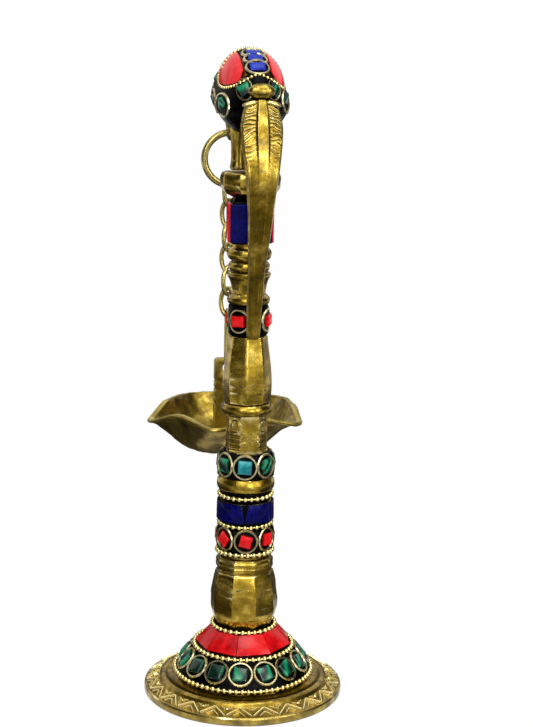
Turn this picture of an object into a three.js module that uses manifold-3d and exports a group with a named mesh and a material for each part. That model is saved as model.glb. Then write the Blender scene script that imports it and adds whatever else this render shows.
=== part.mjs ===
// Peacock oil lamp with stand. A domed foot carries a turned column with inlaid bands, a perch
// cup and a peacock. A ring, a chain and a long loop hang from the beak and hold a five-spout
// oil bowl. Millimetres, +Z up, column axis on Z, the bird's head to -Y and its tail to +Y.
import * as THREE from 'three';
import { mergeVertices } from 'three/addons/utils/BufferGeometryUtils.js';
import Module from 'manifold-3d';

const wasm = await Module();
wasm.setup();

// Driving dimensions
const seatGap = 0.3;            // clearance between neighbouring pieces
const boreRadius = 3.3;         // hole through the column pieces for the tie rod
const rodRadius = 3.0;
const baseRadius = 41.3;
const bead = { pitch: 3.1, radius: 1.1, neck: 0.5, sides: 4 };
const bezel = { radius: 4.6, stand: 0.7, sunk: 0.8, sides: 6 };
const stone = { half: 3.9, stand: 0.6 };        // half is the half diagonal of a square stone
const domeSlope = 1.15;         // rise of the dome for each millimetre inwards
const domeFoot = { radius: 26.7, z: 10.8 };
const domeTop = { radius: 12.0, z: 27.7 };
const slab = { inner: 7.7, outer: 9.1, narrow: 7.1, wide: 8.2, low: 188.7, high: 204.2 };
const body = { x: 13.65, y: 21.2, z: 14.1, centreZ: 249, tilt: 19 };   // bird's brass core
const bodySkin = { low: 0.85, high: 1.6 };       // inlay thickness over the core
const legs = { x: 5.4, low: 217.0, high: 238, foot: 2.9, hip: 4.4 };
const beakHole = { y: -50.5, z: 229.1, radius: 2.0, lug: 3.9, half: 2.0 };
const ring = { radius: 11.1, wire: 1.5 };
const link = { wire: 1.0, bend: 4.0, length: 12.1, count: 6, play: 0.55 };
const hook = { wire: 1.0, bend: 4.2, low: 128.2 };
const bowl = { vertex: 35, side: 30, rim: 109.4, bottom: 91, wall: 1.9, spouts: 5 };
const post = { width: 10, thick: 3.5, top: 131.6, hole: 2.4 };

const lampY = beakHole.y;
const radians = (degrees) => THREE.MathUtils.degToRad(degrees);

// A closed geometry, its loose copies of shared points joined, as a solid that can be cut
function solidOf(geometry) {
  const loose = geometry.clone();
  loose.deleteAttribute('normal');
  loose.deleteAttribute('uv');
  const merged = mergeVertices(loose, 1e-4);
  const source = merged.index.array;
  const triangles = [];
  for (let i = 0; i < source.length; i += 3) {
    const [a, b, c] = [source[i], source[i + 1], source[i + 2]];
    if (a !== b && b !== c && c !== a) triangles.push(a, b, c);
  }
  const points = merged.attributes.position.array;
  const corner = (i) => new THREE.Vector3().fromArray(points, 3 * i);
  let volume = 0;
  for (let i = 0; i < triangles.length; i += 3) {
    const cross = corner(triangles[i + 1]).cross(corner(triangles[i + 2]));
    volume += corner(triangles[i]).dot(cross);
  }
  if (volume < 0) triangles.reverse();
  return new wasm.Manifold(new wasm.Mesh({
    numProp: 3,
    vertProperties: new Float32Array(points),
    triVerts: new Uint32Array(triangles),
  }));
}

function geometryOf(solid) {
  const mesh = solid.getMesh();
  const geometry = new THREE.BufferGeometry();
  const positions = new Float32Array(mesh.numVert * 3);
  for (let i = 0; i < mesh.numVert; i += 1) {
    for (let k = 0; k < 3; k += 1) positions[3 * i + k] = mesh.vertProperties[mesh.numProp * i + k];
  }
  geometry.setAttribute('position', new THREE.BufferAttribute(positions, 3));
  geometry.setIndex(new THREE.BufferAttribute(new Uint32Array(mesh.triVerts), 1));
  return geometry;
}

// A profile of [radius, z] pairs turned about the column axis; turn is in degrees
function turned(profile, segments, turn = 0) {
  const outline = profile.map(([r, z]) => new THREE.Vector2(r, z));
  const geometry = new THREE.LatheGeometry(outline, segments);
  geometry.rotateX(Math.PI / 2);
  geometry.rotateZ(radians(turn));
  return solidOf(geometry);
}

// The same for a sleeve round the tie rod: its profile runs up the outside only
function sleeve(profile, segments, inner = boreRadius, turn = 0) {
  const low = profile[0][1];
  const high = profile[profile.length - 1][1];
  return turned([[inner, low], ...profile, [inner, high], [inner, low]], segments, turn);
}

// Rings of points joined into a skin, with a flat fan over each end
function lofted(rings) {
  const count = rings[0].length;
  const points = rings.flat();
  const triangles = [];
  for (let j = 0; j + 1 < rings.length; j += 1) {
    for (let i = 0; i < count; i += 1) {
      const a = j * count + i;
      const b = j * count + (i + 1) % count;
      triangles.push(a, b, b + count, a, b + count, a + count);
    }
  }
  const middle = (list) => list.reduce((sum, p) => sum.add(p), new THREE.Vector3())
    .divideScalar(list.length);
  points.push(middle(rings[0]), middle(rings[rings.length - 1]));
  const last = (rings.length - 1) * count;
  for (let i = 0; i < count; i += 1) {
    const next = (i + 1) % count;
    triangles.push(points.length - 2, next, i);
    triangles.push(points.length - 1, last + i, last + next);
  }
  return skinned(points, triangles);
}

function skinned(points, triangles) {
  const geometry = new THREE.BufferGeometry().setFromPoints(points);
  geometry.setIndex(triangles);
  return solidOf(geometry);
}

// A tube round a closed path: each step has a centre, the direction across the tube that
// points outwards, the direction along the loop's axis, and a radius
function loopTube(steps, sides) {
  const points = [];
  const triangles = [];
  steps.forEach(({ centre, outward, axis, radius }) => {
    for (let i = 0; i < sides; i += 1) {
      const angle = (2 * Math.PI * (i + 0.5)) / sides;
      points.push(centre.clone()
        .addScaledVector(outward, radius * Math.cos(angle))
        .addScaledVector(axis, radius * Math.sin(angle)));
    }
  });
  for (let j = 0; j < steps.length; j += 1) {
    const next = (j + 1) % steps.length;
    for (let i = 0; i < sides; i += 1) {
      const side = (i + 1) % sides;
      const [a, b] = [j * sides + i, j * sides + side];
      const [c, d] = [next * sides + side, next * sides + i];
      triangles.push(a, b, c, a, c, d);
    }
  }
  return skinned(points, triangles);
}

// A plate that follows a surface: surface(u, v, height) gives a point, u and v run from 0 to 1
function curvedPlate(surface, countU, countV, low, high) {
  const points = [];
  const triangles = [];
  for (const height of [low, high]) {
    for (let j = 0; j <= countV; j += 1) {
      for (let i = 0; i <= countU; i += 1) points.push(surface(i / countU, j / countV, height));
    }
  }
  const sheet = (countU + 1) * (countV + 1);
  const at = (i, j) => j * (countU + 1) + i;
  const quad = (a, b, c, d) => triangles.push(a, b, c, a, c, d);
  for (let j = 0; j < countV; j += 1) {
    for (let i = 0; i < countU; i += 1) {
      const [a, b, c, d] = [at(i, j), at(i + 1, j), at(i + 1, j + 1), at(i, j + 1)];
      quad(a, d, c, b);
      quad(a + sheet, b + sheet, c + sheet, d + sheet);
    }
  }
  for (let i = 0; i < countU; i += 1) {
    quad(at(i, 0), at(i + 1, 0), at(i + 1, 0) + sheet, at(i, 0) + sheet);
    quad(at(i + 1, countV), at(i, countV), at(i, countV) + sheet, at(i + 1, countV) + sheet);
  }
  for (let j = 0; j < countV; j += 1) {
    quad(at(0, j + 1), at(0, j), at(0, j) + sheet, at(0, j + 1) + sheet);
    quad(at(countU, j), at(countU, j + 1), at(countU, j + 1) + sheet, at(countU, j) + sheet);
  }
  return skinned(points, triangles);
}

// A cylinder or frustum that stands on a point along a direction; spin turns it about itself
function studAt(point, direction, bottom, top, height, sides, spin = 0) {
  const geometry = new THREE.CylinderGeometry(top, bottom, height, sides);
  geometry.rotateY(spin);
  geometry.translate(0, height / 2, 0);
  const turn = new THREE.Quaternion();
  const out = direction.clone().normalize();
  const level = new THREE.Vector3(-out.y, out.x, 0);
  if (level.lengthSq() < 1e-6) level.set(1, 0, 0);
  level.normalize();
  const up = new THREE.Vector3().crossVectors(level, out);
  turn.setFromRotationMatrix(new THREE.Matrix4().makeBasis(level, out, up));
  geometry.applyQuaternion(turn);
  geometry.translate(point.x, point.y, point.z);
  return solidOf(geometry);
}

// A square stone in its bezel on the surface at a point, both sunk a little into what holds them;
// turn is the stone's own, in degrees
function stoneAt(point, direction, size = 1, plain = false, turn = 0) {
  const sunk = point.clone().addScaledVector(direction.clone().normalize(), -bezel.sunk);
  const height = bezel.sunk + bezel.stand;
  const cup = studAt(sunk, direction, bezel.radius * size, bezel.radius * size * 0.92, height,
    bezel.sides, Math.PI / bezel.sides);
  const cut = studAt(sunk, direction, stone.half * size, stone.half * size * 0.7,
    height + stone.stand, 4, radians(45 + turn));
  return plain ? cut : cup.add(cut);
}

// A beaded wire round the column axis: each bead swells from a thin neck
function beadWire(centreRadius, z) {
  const beads = Math.round((2 * Math.PI * centreRadius) / bead.pitch);
  const steps = [];
  for (let i = 0; i < 2 * beads; i += 1) {
    const angle = (Math.PI * i) / beads;
    const outward = new THREE.Vector3(Math.cos(angle), Math.sin(angle), 0);
    steps.push({
      centre: outward.clone().multiplyScalar(centreRadius).setZ(z),
      outward,
      axis: new THREE.Vector3(0, 0, 1),
      radius: i % 2 ? bead.neck : bead.radius,
    });
  }
  return loopTube(steps, bead.sides);
}

// A ring of flat panels, one for each stone, with narrow corner faces between them. The profile's
// [radius, z] pairs run round the section and are measured to the middles of the panels
function panelRing(profile, count, panelHalf, start) {
  return joinedLoops(profile.map(([radius, z]) => Array.from({ length: 2 * count }, (unused, i) => {
    const middle = radians(start) + (2 * Math.PI * Math.floor(i / 2)) / count;
    const angle = middle + (i % 2 ? panelHalf : -panelHalf);
    const r = radius / Math.cos(panelHalf);
    return new THREE.Vector3(r * Math.cos(angle), r * Math.sin(angle), z);
  })));
}

// A band round the column: stones in flat bezels, each on its own panel
function stoneBand(profile, inner, count, stoneRadius, stoneZ, start, size = 1, turns = [0]) {
  const [low, high] = [profile[0][1], profile[profile.length - 1][1]];
  let band = panelRing([...profile, [inner, high], [inner, low]], count,
    Math.PI / count - radians(1.6), start);
  for (let i = 0; i < count; i += 1) {
    const angle = radians(start) + (2 * Math.PI * i) / count;
    const outward = new THREE.Vector3(Math.cos(angle), Math.sin(angle), 0);
    band = band.add(stoneAt(outward.clone().multiplyScalar(stoneRadius).setZ(stoneZ), outward, size,
      false, turns[i % turns.length]));
  }
  return band;
}

// Foot: rim disc, ornament band, ridge, groove and dome, with a blind hole for the rod
function baseCasting() {
  const recess = [[0, 0], [15, 0], [16, 2.5], [34, 2.5], [35, 0]];
  const rim = [[baseRadius - 0.5, 0], [baseRadius, 0.5], [baseRadius, 2.9], [40.9, 3.5]];
  const ridge = [[35.1, 6.2], [34.5, 7.0], [33.0, 7.3], [31.8, 6.3], [29.4, 6.2]];
  const dome = [[27.6, 7.4], [domeFoot.radius, domeFoot.z], [domeTop.radius, domeTop.z]];
  const socket = [[boreRadius, domeTop.z], [boreRadius, 4], [0, 4]];
  return turned([...recess, ...rim, ...ridge, ...dome, ...socket], 28);
}

// A point of the dome's surface, raised square to it
function onDome(radius, angle, height) {
  const slope = Math.atan(domeSlope);
  const r = radius + height * Math.sin(slope);
  const z = domeFoot.z + domeSlope * (domeFoot.radius - radius) + height * Math.cos(slope);
  return new THREE.Vector3(r * Math.cos(angle), r * Math.sin(angle), z);
}

function domeStoneBand() {
  const [low, high, start] = [25.4, 20.9, 6];
  const count = 15;
  const edge = (radius, height) => {
    const p = onDome(radius, 0, height);
    return [p.x, p.z];
  };
  const outline = [edge(low, 0.3), edge(low, 1.5), edge(high, 1.5), edge(high, 0.3)];
  let band = panelRing(outline, count, radians(9.6), start);
  for (let i = 0; i < count; i += 1) {
    const angle = radians(start) + (2 * Math.PI * i) / count;
    const middle = (low + high) / 2;
    const point = onDome(middle, angle, 1.5);
    const direction = onDome(middle, angle, 2.5).sub(point);
    band = band.add(stoneAt(point, direction, 0.95, true));
  }
  return band;
}

function domePlate(index, count) {
  const [low, high] = [18.1, 13.1];
  const joint = 0.35;
  const surface = (u, v, height) => {
    const radius = low + (high - low) * v;
    const half = Math.PI / count - joint / radius;
    return onDome(radius, (2 * Math.PI * index) / count + half * (2 * u - 1), height);
  };
  return curvedPlate(surface, 3, 1, 0.3, 1.6);
}

// Column pieces, from the foot upwards
function lowerBulb() {
  return sleeve([[10.4, 28.1], [10.6, 30.2], [12.3, 32.6], [13.4, 35.2], [13.75, 38.2], [13.5, 42],
    [12.8, 46], [11.9, 49.6], [11.35, 52.6], [11.5, 56.6], [10.6, 58.3]], 16, boreRadius, 11.25);
}

function middleCasting() {
  return sleeve([[9.9, 58.6], [9.9, 62.3], [8.2, 62.3], [8.2, 74.4], [10.6, 74.4], [10.6, 82.4],
    [8.6, 82.4], [8.6, 87.2], [11.4, 87.2], [11.95, 88], [11.95, 92], [11.4, 92.6], [8.2, 92.6],
    [8.2, 103.4]], 16);
}

function bluePlate(index, count) {
  const inner = 10.9;
  const surface = (u, v, height) => {
    const gap = radians(2.2 + 3.2 * v);
    const angle = radians(-11) + (2 * Math.PI * index) / count + (Math.PI / count - gap) * (2 * u - 1);
    const flat = Math.cos(Math.PI / count) / Math.cos((Math.PI / count) * (2 * u - 1) * 0.6);
    const r = inner + height + 0.35 * flat;
    return new THREE.Vector3(r * Math.cos(angle), r * Math.sin(angle), 74.5 + 7.9 * v);
  };
  return curvedPlate(surface, 3, 1, 0, 1.3);
}

function octagonShaft() {
  return sleeve([[8.1, 103.7], [8.7, 104.3], [8.7, 105.6], [8.3, 106.2], [8.7, 106.8], [8.8, 117.6],
    [8.3, 118.5]], 8, boreRadius + 0.3, 22.5);
}

function upperBulb() {
  return sleeve([[9.0, 118.8], [10.2, 119.7], [10.2, 122.3], [9.1, 123.3], [9.5, 126.5], [9.8, 131],
    [9.7, 136], [9.2, 141], [8.2, 146.5], [7.8, 150.6]], 16, boreRadius, 11.25);
}

// Stacked rings and cup above the upper stone band, ending in a square block for the slabs
function cupCasting() {
  const rings = [[6.0, 150.9], [6.0, 163.6], [8.4, 163.6], [8.9, 164.6], [8.9, 166.4], [8.2, 167.4],
    [6.9, 168.4], [7.4, 171], [8.9, 174.3], [8.9, 176.3], [6.9, 176.8], [8.3, 177.6],
    [8.3, 180.2], [6.9, 181], [8.0, 181.5], [8.0, 182.9], [9.1, 184.2], [9.1, 186],
    [7.4, 187.3], [7.4, 206.4]];
  const height = slab.high + 0.8 - 188.1;
  const block = new THREE.BoxGeometry(2 * (slab.inner - seatGap), 2 * (slab.inner - seatGap), height);
  block.translate(0, 0, 188.1 + height / 2);
  const bore = new THREE.CylinderGeometry(boreRadius, boreRadius, 80, 12);
  bore.rotateX(Math.PI / 2);
  bore.translate(0, 0, 180);
  return turned([[0, 150.9], ...rings, [0, 206.4]], 14).add(solidOf(block)).subtract(solidOf(bore));
}

// An inlay slab on one side of the square block, its face a little smaller than its back; the
// blue ones reach over the edges of the red ones
function neckSlab(side, half) {
  const rect = (half, trim, depth) => [[-half, slab.low + trim], [half, slab.low + trim],
    [half, slab.high - trim], [-half, slab.high - trim]].map(([across, z]) => new THREE.Vector3(
    depth, across, z).applyAxisAngle(new THREE.Vector3(0, 0, 1), (Math.PI / 2) * side));
  return lofted([rect(half, 0, slab.inner), rect(half, 0, slab.outer - 0.5),
    rect(half - 0.5, 0.5, slab.outer)]);
}

function perchCup() {
  return turned([[0, 206.7], [6.4, 206.7], [9.4, 207.4], [11.5, 209.4], [11.7, 210.4],
    [11.7, 214.6], [11.2, 215.7], [9.2, 216.7], [0, 216.7]], 18).subtract(
    studAt(new THREE.Vector3(0, 0, 206), new THREE.Vector3(0, 0, 1), boreRadius, boreRadius, 6.5, 12));
}

// A point given in the bird's own tilted body, placed in the lamp
function inBody(local) {
  return local.applyAxisAngle(new THREE.Vector3(1, 0, 0), -radians(body.tilt))
    .add(new THREE.Vector3(0, 0, body.centreZ));
}

// The bird's egg-shaped body: a point on it, raised by a height, at an angle from its own top
// and an angle round it (0 at +X, 90 at the tail)
function onBody(fromTop, round, height) {
  return inBody(new THREE.Vector3(
    (body.x + height) * Math.sin(fromTop) * Math.cos(round),
    (body.y + height) * Math.sin(fromTop) * Math.sin(round),
    (body.z + height) * Math.cos(fromTop)));
}

function bodyEgg(height, around = 16, rows = 9) {
  const rings = [];
  for (let j = 1; j < rows; j += 1) {
    const ringPoints = [];
    for (let i = 0; i < around; i += 1) {
      ringPoints.push(onBody(Math.PI - (Math.PI * j) / rows, (2 * Math.PI * i) / around, height));
    }
    rings.push(ringPoints);
  }
  return lofted(rings);
}

// Round sections along a path in the bird's middle plane: [y, z, half width, half height]
function spine(stations, sides) {
  const rings = stations.map(([y, z, wide, high], index) => {
    const before = stations[Math.max(index - 1, 0)];
    const after = stations[Math.min(index + 1, stations.length - 1)];
    const along = new THREE.Vector2(after[0] - before[0], after[1] - before[1]).normalize();
    return Array.from({ length: sides }, (unused, i) => {
      const angle = (2 * Math.PI * i) / sides;
      const lift = high * Math.sin(angle);
      return new THREE.Vector3(wide * Math.cos(angle), y - along.y * lift, z + along.x * lift);
    });
  });
  return lofted(rings);
}

function neckAndHead(grow) {
  return spine([[-6, 250, 11, 11], [-15, 253.5, 9.8, 9.4], [-24, 255, 7.6, 7.2],
    [-32, 254, 6.2, 6.0], [-38, 250.6, 5.6, 5.6], [-42.5, 246.5, 6.0, 6.2], [-46, 242, 5.6, 5.8],
    [-48.6, 238, 3.6, 4.0], [-50, 233.4, 2.4, 3.2], [-50.6, 230, 2.0, 2.6]].map(
    ([y, z, wide, high]) => [y, z, wide + grow, high + grow]), 10);
}

function legPair(grow) {
  const pair = [-1, 1].map((side) => {
    const foot = new THREE.Vector3(side * legs.x, 0, legs.low - grow);
    return studAt(foot, new THREE.Vector3(side * 0.05, 0, 1), legs.foot + grow, legs.hip + grow,
      legs.high - legs.low + grow, 8);
  });
  return pair[0].add(pair[1]);
}

function rumpKnob(grow) {
  const knob = new THREE.SphereGeometry(1, 10, 7);
  knob.scale(5.5 + grow, 3.0 + grow, 3.2 + grow);
  knob.translate(0, 21.2, 247.8);
  return solidOf(knob);
}

function peacockCasting() {
  const lug = studAt(new THREE.Vector3(-beakHole.half, beakHole.y, beakHole.z),
    new THREE.Vector3(1, 0, 0), beakHole.lug, beakHole.lug, 2 * beakHole.half, 10);
  const hole = studAt(new THREE.Vector3(-10, beakHole.y, beakHole.z),
    new THREE.Vector3(1, 0, 0), beakHole.radius, beakHole.radius, 20, 10);
  let bird = bodyEgg(0).add(legPair(0)).add(neckAndHead(0)).add(lug).add(rumpKnob(0));
  for (const side of [-1, 0, 1]) {
    const root = new THREE.Vector3(side * 1.6, -41, 250.5);
    bird = bird.add(studAt(root, new THREE.Vector3(side * 0.35, 0.5, 1), 1.3, 0.8, 7, 5));
    const knob = new THREE.SphereGeometry(1.5, 6, 4);
    knob.translate(side * 3.7, -37.9, 256.6);
    bird = bird.add(solidOf(knob));
  }
  return bird.subtract(hole);
}

// The saddle's edge: how far down from the top the inlay on the back reaches
function saddleEdge(round) {
  return radians(40 + 43 * Math.cos(round) ** 2);
}

const stripHalf = 6.2;          // half width of the blue strip along the back

// One flank of the saddle, from the strip's edge down to the bead wire
function flankPanel(side) {
  const surface = (u, v, height) => {
    const round = radians(-46 + 92 * u);
    const edge = saddleEdge(round) - radians(5.5);
    const strip = Math.asin((stripHalf + 0.5) / (body.x * Math.cos(round)));
    const p = onBody(strip + (edge - strip) * v, round, height);
    return p.setX(side * p.x);
  };
  return curvedPlate(surface, 7, 4, bodySkin.low, bodySkin.high)
    .subtract(neckAndHead(seatGap));
}

// The strip along the back with its three stones
function backStrip() {
  const [front, rear] = [-32, 33];
  const place = (u, v, height) => {
    const along = radians(front + (rear - front) * v);
    const across = stripHalf * (2 * u - 1);
    const share = Math.sqrt(1 - (across / (body.x + height)) ** 2);
    return inBody(new THREE.Vector3(across, (body.y + height) * share * Math.sin(along),
      (body.z + height) * share * Math.cos(along)));
  };
  let strip = curvedPlate(place, 4, 6, bodySkin.low, bodySkin.high);
  for (const v of [0.18, 0.5, 0.82]) {
    const point = place(0.5, v, bodySkin.high);
    const direction = place(0.5, v, bodySkin.high + 1).sub(place(0.5, v, bodySkin.high));
    strip = strip.add(stoneAt(point, direction, 0.95));
  }
  return strip;
}

// Black bed round the lower body with green stones, cut away for legs, neck and rump
function bodyBed() {
  const surface = (u, v, height) => {
    const round = 2 * Math.PI * u;
    const edge = saddleEdge(round) + radians(9);
    return onBody(edge + (radians(150) - edge) * v, round, height);
  };
  const around = 18;
  const rows = 4;
  const loops = [];
  const order = [...Array.from({ length: rows + 1 }, (unused, j) => [j / rows, bodySkin.low]),
    ...Array.from({ length: rows + 1 }, (unused, j) => [1 - j / rows, bodySkin.high])];
  for (const [v, height] of order) {
    loops.push(Array.from({ length: around }, (unused, i) => surface(i / around, v, height)));
  }
  let bed = joinedLoops(loops);
  for (const [round, below] of [[54, 18], [28, 26], [2, 26], [126, 18], [152, 26], [178, 26]]) {
    const angle = radians(round);
    const down = saddleEdge(angle) + radians(below);
    const point = onBody(down, angle, bodySkin.high);
    bed = bed.add(stoneAt(point, onBody(down, angle, bodySkin.high + 1).sub(point), 0.85, true));
  }
  return bed.subtract(legPair(seatGap)).subtract(neckAndHead(seatGap)).subtract(rumpKnob(seatGap));
}

// Loops of points joined one to the next and the last back to the first
function joinedLoops(loops) {
  const count = loops[0].length;
  const triangles = [];
  for (let j = 0; j < loops.length; j += 1) {
    const next = (j + 1) % loops.length;
    for (let i = 0; i < count; i += 1) {
      const side = (i + 1) % count;
      const [a, b] = [j * count + i, j * count + side];
      const [c, d] = [next * count + side, next * count + i];
      triangles.push(a, b, c, a, c, d);
    }
  }
  return skinned(loops.flat(), triangles);
}

function saddleWire() {
  const samples = 52;
  const steps = [];
  for (let i = 0; i < samples; i += 1) {
    const round = (2 * Math.PI * i) / samples;
    const down = saddleEdge(round) + radians(1.6);
    const centre = onBody(down, round, bead.radius + bodySkin.low + 0.25);
    const axis = onBody(down, round, 3).sub(onBody(down, round, 2)).normalize();
    const ahead = onBody(saddleEdge(round + 0.01), round + 0.01, 0).sub(onBody(saddleEdge(round), round, 0));
    const outward = new THREE.Vector3().crossVectors(ahead.normalize(), axis).normalize();
    steps.push({ centre, outward, axis, radius: i % 2 ? bead.neck : bead.radius });
  }
  return loopTube(steps, bead.sides).subtract(neckAndHead(seatGap)).subtract(rumpKnob(seatGap));
}

// Tail: [y, z, width, thickness] down its middle; the outer face has a raised middle rib and
// raised borders
function tail() {
  const stations = [[20.5, 244, 16, 5], [22, 240, 17.6, 5], [23, 235, 17.6, 4.8], [24.6, 229, 15.4, 4.4],
    [25.7, 223, 14, 4.2], [26.2, 216, 12.8, 4], [25.2, 208, 11, 3.8], [23.6, 200, 9.8, 3.6],
    [21.2, 192, 9, 3.4], [18.6, 185, 7.4, 3.2], [16, 177, 6.6, 3], [13.8, 168, 6, 3],
    [12.3, 159, 5.4, 3], [11.7, 152.5, 5.2, 3], [11.7, 150.6, 4.2, 2.6]];
  const shape = [[-1, -0.2], [-1, 0.55], [-0.86, 0.75], [-0.7, 0.45], [-0.3, 0.7], [-0.2, 1], [0.2, 1],
    [0.3, 0.7], [0.7, 0.45], [0.86, 0.75], [1, 0.55], [1, -0.2], [0.7, -1], [-0.7, -1]];
  const rings = stations.map(([y, z, width, thick], index) => {
    const before = stations[Math.max(index - 1, 0)];
    const after = stations[Math.min(index + 1, stations.length - 1)];
    const along = new THREE.Vector2(after[0] - before[0], after[1] - before[1]).normalize();
    return shape.map(([across, out]) => new THREE.Vector3((across * width) / 2,
      y - (along.y * out * thick) / 2, z + (along.x * out * thick) / 2));
  });
  return lofted(rings).subtract(bodyEgg(bodySkin.high + 3 * seatGap, 18, 10)).subtract(rumpKnob(seatGap));
}

// A loop of wire with two round bends in an upright plane; turn is the plane's angle from X
function wireLoop(topZ, bottomZ, bend, wire, turn, bendSteps) {
  const flat = new THREE.Vector3(Math.cos(radians(turn)), Math.sin(radians(turn)), 0);
  const axis = new THREE.Vector3(-flat.y, flat.x, 0);
  const steps = [];
  for (const [centreZ, start] of [[topZ - bend, 0], [bottomZ + bend, Math.PI]]) {
    for (let i = 0; i <= bendSteps; i += 1) {
      const angle = start + (Math.PI * i) / bendSteps;
      const outward = flat.clone().multiplyScalar(Math.cos(angle)).setZ(Math.sin(angle));
      const centre = outward.clone().multiplyScalar(bend).add(new THREE.Vector3(0, lampY, centreZ));
      steps.push({ centre, outward, axis, radius: wire });
    }
  }
  return loopTube(steps, 6);
}

// Chain: each link hangs over the wire below it with a small gap
const ringCentreZ = beakHole.z - ring.radius;
const ringLowZ = ringCentreZ - ring.radius;
const firstTop = ringLowZ + ring.wire + link.wire + link.play;
const linkPitch = link.length - 2 * link.wire - link.play;

function hangingRing() {
  const steps = [];
  const count = 24;
  for (let i = 0; i < count; i += 1) {
    const angle = (2 * Math.PI * i) / count;
    const outward = new THREE.Vector3(Math.cos(angle), 0, Math.sin(angle));
    const centre = outward.clone().multiplyScalar(ring.radius)
      .add(new THREE.Vector3(0, lampY, ringCentreZ));
    steps.push({ centre, outward, axis: new THREE.Vector3(0, 1, 0), radius: ring.wire });
  }
  return loopTube(steps, 6);
}

function chainLink(index) {
  const top = firstTop - linkPitch * index;
  return wireLoop(top, top - link.length, link.bend, link.wire, index % 2 ? -45 : 45, 5);
}

function hookLoop() {
  const top = firstTop - linkPitch * (link.count - 1) - link.length + 2 * link.wire + link.play;
  return wireLoop(top, hook.low, hook.bend, hook.wire, 90, 6);
}

// Bowl: a five-sided shell that runs from a round bottom to a pointed rim, and its post
function bowlRadius(angle) {
  const sector = (2 * Math.PI) / bowl.spouts;
  const fromSide = ((angle % sector) + sector) % sector - sector / 2;
  const power = Math.log(bowl.vertex / bowl.side) / -Math.log(Math.cos(sector / 2));
  return bowl.side / Math.cos(fromSide) ** power;
}

function oilBowl() {
  const around = 30;
  const depth = bowl.rim - bowl.bottom;
  const roundMean = 31.5;
  const ringAt = (share, height, inset) => Array.from({ length: around }, (unused, i) => {
    const angle = (2 * Math.PI * i) / around;
    const pointed = bowlRadius(angle) * share + roundMean * share * (1 - share) * 0.35;
    const r = Math.max(pointed - inset, 2);
    const spout = Math.cos((bowl.spouts * angle) / 2) ** 8;
    const z = bowl.bottom + depth * height + 1.2 * spout * height ** 3;
    return new THREE.Vector3(r * Math.cos(angle), lampY + r * Math.sin(angle), z);
  });
  const outer = [[0.24, 0], [0.42, 0.05], [0.62, 0.2], [0.8, 0.46], [0.93, 0.76], [0.985, 0.93], [1, 1]];
  const inner = [[0.985, 1], [0.94, 0.9], [0.86, 0.7], [0.7, 0.4], [0.5, 0.2], [0.26, 0.13]];
  const shell = lofted([
    ...outer.map(([share, height]) => ringAt(share, height, 0)),
    ...inner.map(([share, height]) => ringAt(share, height, bowl.wall)),
  ]);
  const outline = new THREE.Shape();
  const half = post.width / 2;
  outline.moveTo(-half, bowl.bottom + 1.2);
  outline.lineTo(half, bowl.bottom + 1.2);
  outline.lineTo(half, post.top - half);
  outline.absarc(0, post.top - half, half, 0, Math.PI);
  outline.lineTo(-half, bowl.bottom + 1.2);
  const plate = new THREE.ExtrudeGeometry(outline, {
    depth: post.thick, bevelEnabled: false, curveSegments: 8,
  });
  plate.rotateX(Math.PI / 2);
  plate.translate(0, lampY + post.thick / 2, 0);
  const rise = hook.bend - Math.sqrt(hook.bend ** 2 - (post.thick / 2) ** 2);
  const holeZ = hook.low + hook.wire + rise + seatGap - post.hole;
  const hole = studAt(new THREE.Vector3(0, lampY - 5, holeZ), new THREE.Vector3(0, 1, 0),
    post.hole, post.hole, 10, 12);
  const mound = studAt(new THREE.Vector3(0, lampY, bowl.bottom + 1.2), new THREE.Vector3(0, 0, 1),
    9, 5.5, 4.2, 12);
  return shell.add(mound).add(solidOf(plate)).subtract(hole);
}

// Finishes, with the colour, roughness and metalness of each
const finish = (color, roughness, metalness) => new THREE.MeshStandardMaterial(
  { color, roughness, metalness });
const brass = () => finish(0xa88a3a, 0.38, 1);
const wireBrass = () => finish(0xd6c27a, 0.35, 1);
const redStone = () => finish(0xc81e1e, 0.35, 0);
const blueStone = () => finish(0x1c2f86, 0.3, 0);
const greenStone = () => finish(0x0b8a5a, 0.3, 0);
const blackLac = () => finish(0x16120f, 0.45, 0);

const lamp = new THREE.Group();

function piece(name, solid, material) {
  const mesh = new THREE.Mesh(geometryOf(solid), material);
  mesh.name = name;
  lamp.add(mesh);
}

const redPlates = 11;
const bluePlates = 6;

piece('base_casting', baseCasting(), brass());
piece('tie_rod', studAt(new THREE.Vector3(0, 0, 4.3), new THREE.Vector3(0, 0, 1), rodRadius,
  rodRadius, 207.5, 12), brass());
piece('dome_bead_wire_lower', beadWire(28.5, 9.8), wireBrass());
piece('dome_bead_wire_middle', beadWire(20.4, 20.2), wireBrass());
piece('dome_bead_wire_upper', beadWire(12.7, 28.9), wireBrass());
piece('dome_stone_band', domeStoneBand(), greenStone());
for (let i = 0; i < redPlates; i += 1) {
  piece(`dome_red_plate_${i + 1}`, domePlate(i, redPlates), redStone());
}
piece('lower_bulb', lowerBulb(), brass());
piece('middle_casting', middleCasting(), brass());
piece('column_bead_wire_lower', beadWire(11.4, 61), wireBrass());
piece('column_bead_wire_middle', beadWire(9.8, 72.9), wireBrass());
piece('column_bead_wire_upper', beadWire(10.1, 85), wireBrass());
piece('red_stone_band', stoneBand([[10.9, 62.6], [10.9, 71.4]], 8.6, 7, 10.9, 67, 30.6, 0.93,
  [40, 22, 4]), redStone());
for (let i = 0; i < bluePlates; i += 1) {
  piece(`blue_plate_${i + 1}`, bluePlate(i, bluePlates), blueStone());
}
piece('green_stone_band', stoneBand([[10.9, 92.9], [10.7, 98], [10.1, 103.1]], 8.6, 7,
  10.5, 98, 26.6, 0.95), greenStone());
piece('octagon_shaft', octagonShaft(), brass());
piece('upper_bulb', upperBulb(), brass());
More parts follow.
